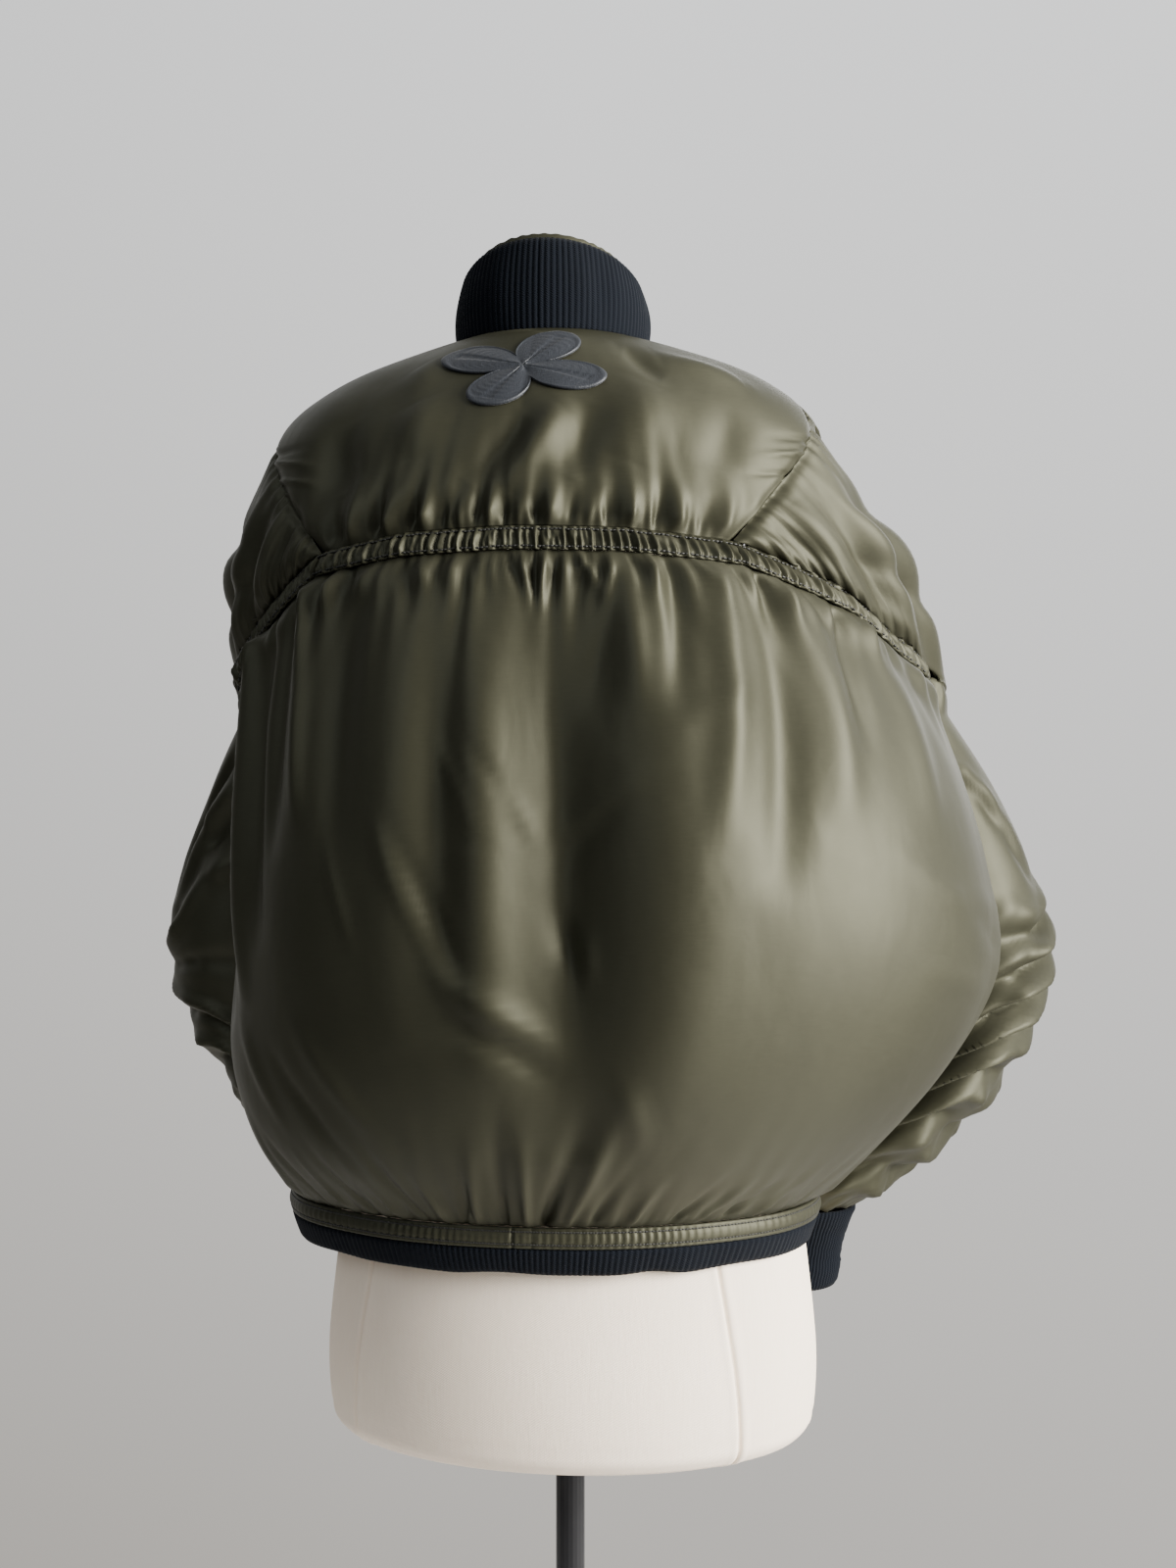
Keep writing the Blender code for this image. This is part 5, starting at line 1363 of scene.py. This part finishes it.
class Socket:
    """A shader socket that can be added, multiplied and so on, each as a node."""

    def __init__(self, tree: bpy.types.NodeTree, out: object) -> None:
        """Keep the tree and the output socket."""
        self.tree, self.out = tree, out

    def maths(self, operation: str, *others: object, clamp: bool = False) -> "Socket":
        """A Math node with this socket first and the others after it."""
        settings = {"operation": operation, "use_clamp": clamp}
        return add_node(self.tree, "Math", settings, dict(enumerate((self, *others))))

    def __add__(self, other: object) -> "Socket":
        """self + other."""
        return self.maths("ADD", other)

    __radd__ = __add__

    def __mul__(self, other: object) -> "Socket":
        """self * other."""
        return self.maths("MULTIPLY", other)

    __rmul__ = __mul__

    def __sub__(self, other: object) -> "Socket":
        """self - other."""
        return self.maths("SUBTRACT", other)

    def __rsub__(self, other: float) -> "Socket":
        """other - self."""
        return self.maths("MULTIPLY", -1.0) + other

    def wave(self, length: float) -> "Socket":
        """A sine along self, of a wave's length."""
        return (self * (FULL_TURN / length)).maths("SINE")

    def clamped(self) -> "Socket":
        """self held between 0 and 1."""
        return self.maths("ADD", 0.0, clamp=True)


def feed(tree: bpy.types.NodeTree, slot: object, value: object) -> None:
    """Link a socket to a slot, or set a plain value on it."""
    if isinstance(value, Socket):
        tree.links.new(value.out, slot)
    else:
        slot.default_value = value


def add_node(tree: bpy.types.NodeTree, kind: str, settings: dict, sockets: dict,
             out: int | str = 0) -> Socket:
    """Add a node of any type.

    Args:
        tree: the node tree.
        kind: the node's type, without "ShaderNode".
        settings: the node's own settings, which are set first.
        sockets: values or sockets for its inputs, by name or number.
        out: which output to give back.

    Returns:
        The chosen output.
    """
    node = tree.nodes.new("ShaderNode" + kind)
    for key, value in settings.items():
        setattr(node, key, value)
    for key, value in sockets.items():
        feed(tree, node.inputs[key], value)
    return Socket(tree, node.outputs[out])


def coordinates(tree: bpy.types.NodeTree, kind: str) -> list[Socket]:
    """The x, y and z of a kind of texture coordinate."""
    spot = add_node(tree, "TexCoord", {}, {}, kind)
    parts = add_node(tree, "SeparateXYZ", {}, {0: spot})
    return [Socket(tree, out) for out in parts.out.node.outputs]


def tint(part: Socket, first: tuple, second: tuple) -> Socket:
    """A colour between two, by a Mix node."""
    colours = {0: part, 6: (*first, 1.0), 7: (*second, 1.0)}
    return add_node(part.tree, "Mix", {"data_type": "RGBA"}, colours, 2)


class Shader:
    """A new material with its Principled BSDF."""

    def __init__(self, name: str, metallic: float = 0.0, **constants: float) -> None:
        """Make the material and set the constants straight on the shader's sockets."""
        self.material = bpy.data.materials.new(name)
        self.material.use_nodes = True
        self.tree = self.material.node_tree
        self.surface = self.tree.nodes["Principled BSDF"]
        for socket, value in {"Metallic": metallic, **constants}.items():
            self.surface.inputs[socket.replace("_", " ")].default_value = value

    def cloth(self) -> list[Socket]:
        """The cloth's own coordinates across and along, in metres, from its UV map."""
        return coordinates(self.tree, "UV")[:2]

    def noise(self, scale: float, detail: float = 2.0, distortion: float = 0.0,
              stretch: tuple = (1, 1, 1)) -> Socket:
        """A noise from 0 to 1 in object coordinates, stretched along the axes."""
        place = add_node(self.tree, "TexCoord", {}, {}, "Object")
        spot = add_node(self.tree, "Mapping", {}, {"Vector": place, "Scale": stretch})
        sockets = {"Vector": spot, "Scale": scale, "Detail": detail, "Distortion": distortion}
        return add_node(self.tree, "TexNoise", {}, sockets, "Fac")

    def finish(self, colour: Socket, roughness: Socket, *bumps: tuple[Socket, float]) -> Material:
        """Join the colour, the roughness and a chain of bumps.

        Args:
            colour: the base colour.
            roughness: the roughness.
            bumps: heights in metres with their strengths, the coarsest first.

        Returns:
            The material.
        """
        chain = {}
        for height, strength in bumps:
            sockets = {"Strength": strength, "Distance": 1.0, "Height": height, **chain}
            chain = {"Normal": add_node(self.tree, "Bump", {}, sockets)}
        for key, value in {"Base Color": colour, "Roughness": roughness, **chain}.items():
            feed(self.tree, self.surface.inputs[key], value)
        return self.material


@dataclass(frozen=True)
class Satin:
    """Olive satin: smooth and softly shiny, with faint crumples and threads that run across."""

    name: str = "satin_olive"
    deep: tuple = (0.031, 0.0305, 0.018)
    light: tuple = (0.054, 0.0535, 0.033)

    def make(self) -> Material:
        """The satin, from slow shade changes, faint crumples and fine threads."""
        shader = Shader(self.name, 0.55, Specular_IOR_Level=0.35, Anisotropic=0.45,
                        Anisotropic_Rotation=0.25)
        across_m, along = shader.cloth()
        slow = shader.noise(9.0, 3.0, 0.6)
        crumple = shader.noise(20.0, 2.0, 0.4, (1.0, 1.0, 0.55))
        fine = shader.noise(75.0, 2.0, 0.3, (1.0, 1.0, 0.6))
        weft = shader.noise(1000.0, 2.0, 0.0, (0.12, 0.12, 1.0))
        thread = along.wave(0.00042) * across_m.wave(0.0016)
        colour = tint((slow * 0.6 + weft * 0.4).clamped(), self.deep, self.light)
        roughness = (slow * 0.08 + fine * 0.05 + weft * 0.06 + 0.47).clamped()
        return shader.finish(colour, roughness, (crumple * 0.0011, 1.0), (fine * 0.00012, 1.0),
                             (thread * 0.000012 + weft * 0.00003, 0.7))


@dataclass(frozen=True)
class Knit:
    """Blue-black wool rib: matt, with rows of knit stitches along each rib."""

    name: str = "rib_knit_black"
    deep: tuple = (0.0007, 0.0015, 0.0032)
    light: tuple = (0.0025, 0.0044, 0.0085)
    row: float = 0.0016

    def make(self) -> Material:
        """The knit, from the stitches' rows and a felted fuzz."""
        shader = Shader(self.name, Sheen_Weight=0.02, Sheen_Roughness=0.5, Specular_IOR_Level=0.12)
        across_m, along = shader.cloth()
        stitch = (along + across_m.wave(0.0036) * 0.0005).wave(self.row) * 0.5 + 0.5
        fuzz = shader.noise(900.0, 3.0)
        slow = shader.noise(30.0)
        colour = tint((stitch * 0.35 + fuzz * 0.5 + slow * 0.2).clamped(), self.deep, self.light)
        return shader.finish(colour, (fuzz * 0.15 + 0.78).clamped(), (stitch * 0.00022, 1.0),
                             (fuzz * 0.00025, 0.8))


@dataclass(frozen=True)
class Weave:
    """A plain weave of two threads, for the form's linen cover and the zip's tape."""

    name: str
    deep: tuple
    light: tuple
    pitch: float
    roughness: float = 0.85
    relief: float = 0.00012

    def make(self) -> Material:
        """The weave: the product of two sines across and along the cloth, with uneven thread."""
        shader = Shader(self.name, Specular_IOR_Level=0.25)
        across_m, along = shader.cloth()
        over = across_m.wave(self.pitch) * along.wave(self.pitch) * 0.5 + 0.5
        slub = shader.noise(420.0, 2.0, 0.0, (1.0, 1.0, 0.12))
        slow = shader.noise(6.0, 3.0, 0.4)
        colour = tint((slub * 0.45 + slow * 0.35 + over * 0.2).clamped(), self.deep, self.light)
        return shader.finish(colour, (slub * 0.1 + self.roughness - 0.05).clamped(),
                             (over * self.relief, 1.0), (slub * self.relief * 1.5, 0.7))


@dataclass(frozen=True)
class Thread:
    """Charcoal stitching thread with a soft sheen, for the blossom and the stitches."""

    name: str = "thread_charcoal"
    deep: tuple = (0.006, 0.0075, 0.011)
    light: tuple = (0.023, 0.027, 0.035)

    def make(self) -> Material:
        """The thread, from fine strands that wander."""
        shader = Shader(self.name, 0.1, Sheen_Weight=0.08, Sheen_Roughness=0.4)
        strand = shader.noise(1400.0, 2.0, 0.5, (1.0, 0.3, 0.25))
        colour = tint((strand * 0.6 + shader.noise(60.0) * 0.4).clamped(), self.deep, self.light)
        return shader.finish(colour, (strand * 0.2 + 0.42).clamped(), (strand * 0.0003, 1.0))


@dataclass(frozen=True)
class Metal:
    """Metal of the zip, or the stand's black paint over steel."""

    name: str
    deep: tuple
    light: tuple
    metallic: float
    roughness: float
    grain: float = 0.00004

    def make(self) -> Material:
        """The metal, with smudges and a fine grain."""
        shader = Shader(self.name, self.metallic)
        smudge = shader.noise(40.0, 3.0, 0.5)
        grain = shader.noise(1500.0)
        colour = tint((smudge * 0.7 + grain * 0.3).clamped(), self.deep, self.light)
        return shader.finish(colour, (smudge * 0.16 + self.roughness - 0.06).clamped(),
                             (grain * self.grain, 0.6))


@dataclass(frozen=True)
class Plaster:
    """The pale studio floor: a matt grey with faint clouds."""

    name: str = "floor_pale"

    def make(self) -> Material:
        """The plaster, from slow clouds and a fine tooth."""
        shader = Shader(self.name)
        colour = tint(shader.noise(2.0, 4.0, 0.3), (0.62, 0.61, 0.61), (0.70, 0.69, 0.69))
        fine = shader.noise(300.0)
        return shader.finish(colour, fine * 0.1 + 0.8, (fine * 0.0001, 0.5))


# ---- dressing the frame

@dataclass(frozen=True)
class Cut:
    """How cloth was cut: its flat width and length, how it is held and what carries it."""

    width: float
    length: float
    held: str
    rests_on: tuple[str, ...] = ("form_linen",)
    area: float | None = None


def dress(item: Item, finish: Material, node: str = "") -> None:
    """Give a piece its material and body, hide the CAD node that it stands for, and report it.

    Args:
        item: the piece.
        finish: its material.
        node: the CAD node that it stands for.
    """
    item.data.materials.append(finish)
    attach(item, BODY)
    if node:
        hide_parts(node)
    log.info("%s: %d faces, cloth %.4f m2", item.name, len(item.data.polygons), half_area(item))


def refinish(node: str, finish: Material) -> None:
    """Put a better material on a CAD node that keeps its shape."""
    item = bpy.data.objects[node]
    for slot in item.material_slots:
        slot.material = finish
    if not item.material_slots:
        item.data.materials.append(finish)


def stand(data: object, place: tuple, aim_height: float) -> Item:
    """Put a camera or a lamp at a place, and turn it to the upright axis at a height."""
    item = bpy.data.objects.new(data.name, data)
    bpy.context.scene.collection.objects.link(item)
    item.location = place
    gaze = Vector((0, 0, aim_height)) - item.location
    item.rotation_euler = gaze.to_track_quat("-Z", "Y").to_euler()
    return item


@dataclass
class Studio:
    """The photo's camera, its soft light and a plain pale floor."""

    aim_height: float = 0.92
    distance: float = 1.46
    heading: tuple = (-0.139, 0.990)
    picture_height: int = 1600
    focal_pixels: float = 2050.0
    sensor: float = 36.0
    shift_pixels: float = 18.0
    # The lamps: name, place, size, power and colour
    lamps: tuple = (("key", (-2.4, 0.9, 1.5), 1.6, 350.0, (1.0, 0.975, 0.93)),
                    ("fill", (1.4, 2.3, 2.3), 1.4, 20.0, (0.88, 0.94, 1.0)),
                    ("front", (-0.8, -2.4, 1.9), 1.6, 24.0, (1.0, 0.99, 0.97)))
    air: tuple = ((0.57, 0.54, 0.50), (1.20, 1.21, 1.22))

    def camera(self) -> None:
        """A level camera behind the jacket, a little to the wearer's right."""
        lens = bpy.data.cameras.new("photo_camera")
        lens.sensor_fit = "VERTICAL"
        lens.sensor_width = lens.sensor_height = self.sensor
        lens.lens = self.sensor * self.focal_pixels / self.picture_height
        lens.shift_x = self.shift_pixels / self.picture_height
        lens.clip_start = 0.05
        x, y = (part * self.distance for part in self.heading)
        bpy.context.scene.camera = stand(lens, (x, y, self.aim_height), self.aim_height)

    def lights(self) -> None:
        """A warm key on the right, a cool fill on the upper left, a weak front light."""
        for name, place, size, power, colour in self.lamps:
            light = bpy.data.lights.new(name, "AREA")
            light.shape, light.size, light.energy, light.color = "SQUARE", size, power, colour
            stand(light, place, 0.95)

    def world(self) -> None:
        """Pale air: warmer below, cooler above, and bright in front of the jacket."""
        world = bpy.data.worlds.new("pale_air")
        bpy.context.scene.world = world
        world.use_nodes = True
        tree = world.node_tree
        x, y, z = coordinates(tree, "Generated")
        colour = tint((x * -0.2 + z * 1.2 + 0.5).clamped(), *self.air)
        strength = (y * -0.55 + x * -0.30 + 0.52).clamped() + 0.05
        for slot, value in enumerate((colour, strength)):
            feed(tree, tree.nodes["Background"].inputs[slot], value)

    def floor(self) -> None:
        """A round floor under the stand."""
        turn = np.linspace(0, FULL_TURN, 96, endpoint=False)
        radius = np.array([0.0001, 0.3, 0.6, 0.85, 0.9])[:, None]
        level = np.array([0.0, 0.0, 0.0, 0.0, -0.01])[:, None] - 0.0004 + 0 * turn
        points = np.stack([radius * np.cos(turn), radius * np.sin(turn), level], axis=-1)
        item = new_object("studio_floor", points.reshape(-1, 3), grid_faces(5, 96)[:, ::-1])
        item.data.materials.append(Plaster().make())


def main() -> None:
    """Build and dress every piece, in the order it was sewn, then set up the studio."""
    satin, knit, thread = Satin().make(), Knit().make(), Thread().make()
    dark_thread = Thread("thread_olive_black", (0.004, 0.004, 0.003), (0.012, 0.012, 0.008)).make()
    tape = Weave("tape_woven_black", (0.006, 0.006, 0.007), (0.016, 0.016, 0.018), 0.0009,
                 0.8).make()
    linen = Weave("linen_cream", (0.88, 0.73, 0.58), (0.98, 0.87, 0.73), 0.0011).make()
    zinc = Metal("zip_metal_worn", (0.22, 0.20, 0.16), (0.42, 0.40, 0.35), 1.0, 0.33).make()
    paint = Metal("stand_black", (0.008, 0.008, 0.009), (0.018, 0.018, 0.020), 0.4, 0.36,
                  0.00003).make()

    form = DressForm().torso()
    dress(form, linen, "form_torso")

    back = GatheredBack()
    dress(back.panel(), satin, "back_panel")
    for word, node, start, end, columns, width in (
            ("right", "casing_right", FORM.right_seam, -48.12, 420, 0.40),
            ("back", "back_casing", -48.0, 46.0, 560, 0.39),
            ("left", "casing_left", 46.12, FORM.left_seam - 0.1, 380, 0.31)):
        dress(back.casing(f"casing_satin_{word}", start, end, columns), satin, node)
    dress(back.casing_stitches(), dark_thread)
    dress(Yoke().panel(), satin, "back_yoke")
    for side, sleeve in zip(Side, (left_sleeve(), right_sleeve())):
        word = side.word
        dress(Front(side).panel(), satin, f"front_{word}")
        dress(sleeve.head(), satin, f"sleeve_head_{word}")
        dress(sleeve.tube(), satin, f"sleeve_{word}")
        dress(sleeve.cuff(), knit, f"cuff_{word}")
    ribbing = Ribbing()
    dress(ribbing.collar(), knit, "collar_rib")
    dress(ribbing.facing(), satin, "collar_facing")
    dress(ribbing.band(), satin, "hem_band")
    dress(ribbing.band_stitches(), dark_thread)
    dress(ribbing.hem(), knit, "hem_rib")
    closure = Zip()
    for side, piece in zip(Side, closure.tapes()):
        dress(piece, tape, f"zip_tape_{side.word}")
    dress(closure.teeth(), zinc)
    dress(Blossom().patch(), thread, "applique")
    for node, finish in (("zip_slider", zinc), ("zip_pull", zinc), ("form_pole", paint),
                         ("form_base", paint)):
        refinish(node, finish)

    studio = Studio()
    studio.floor()
    studio.lights()
    studio.world()
    studio.camera()


if __name__ == "__main__":
    main()
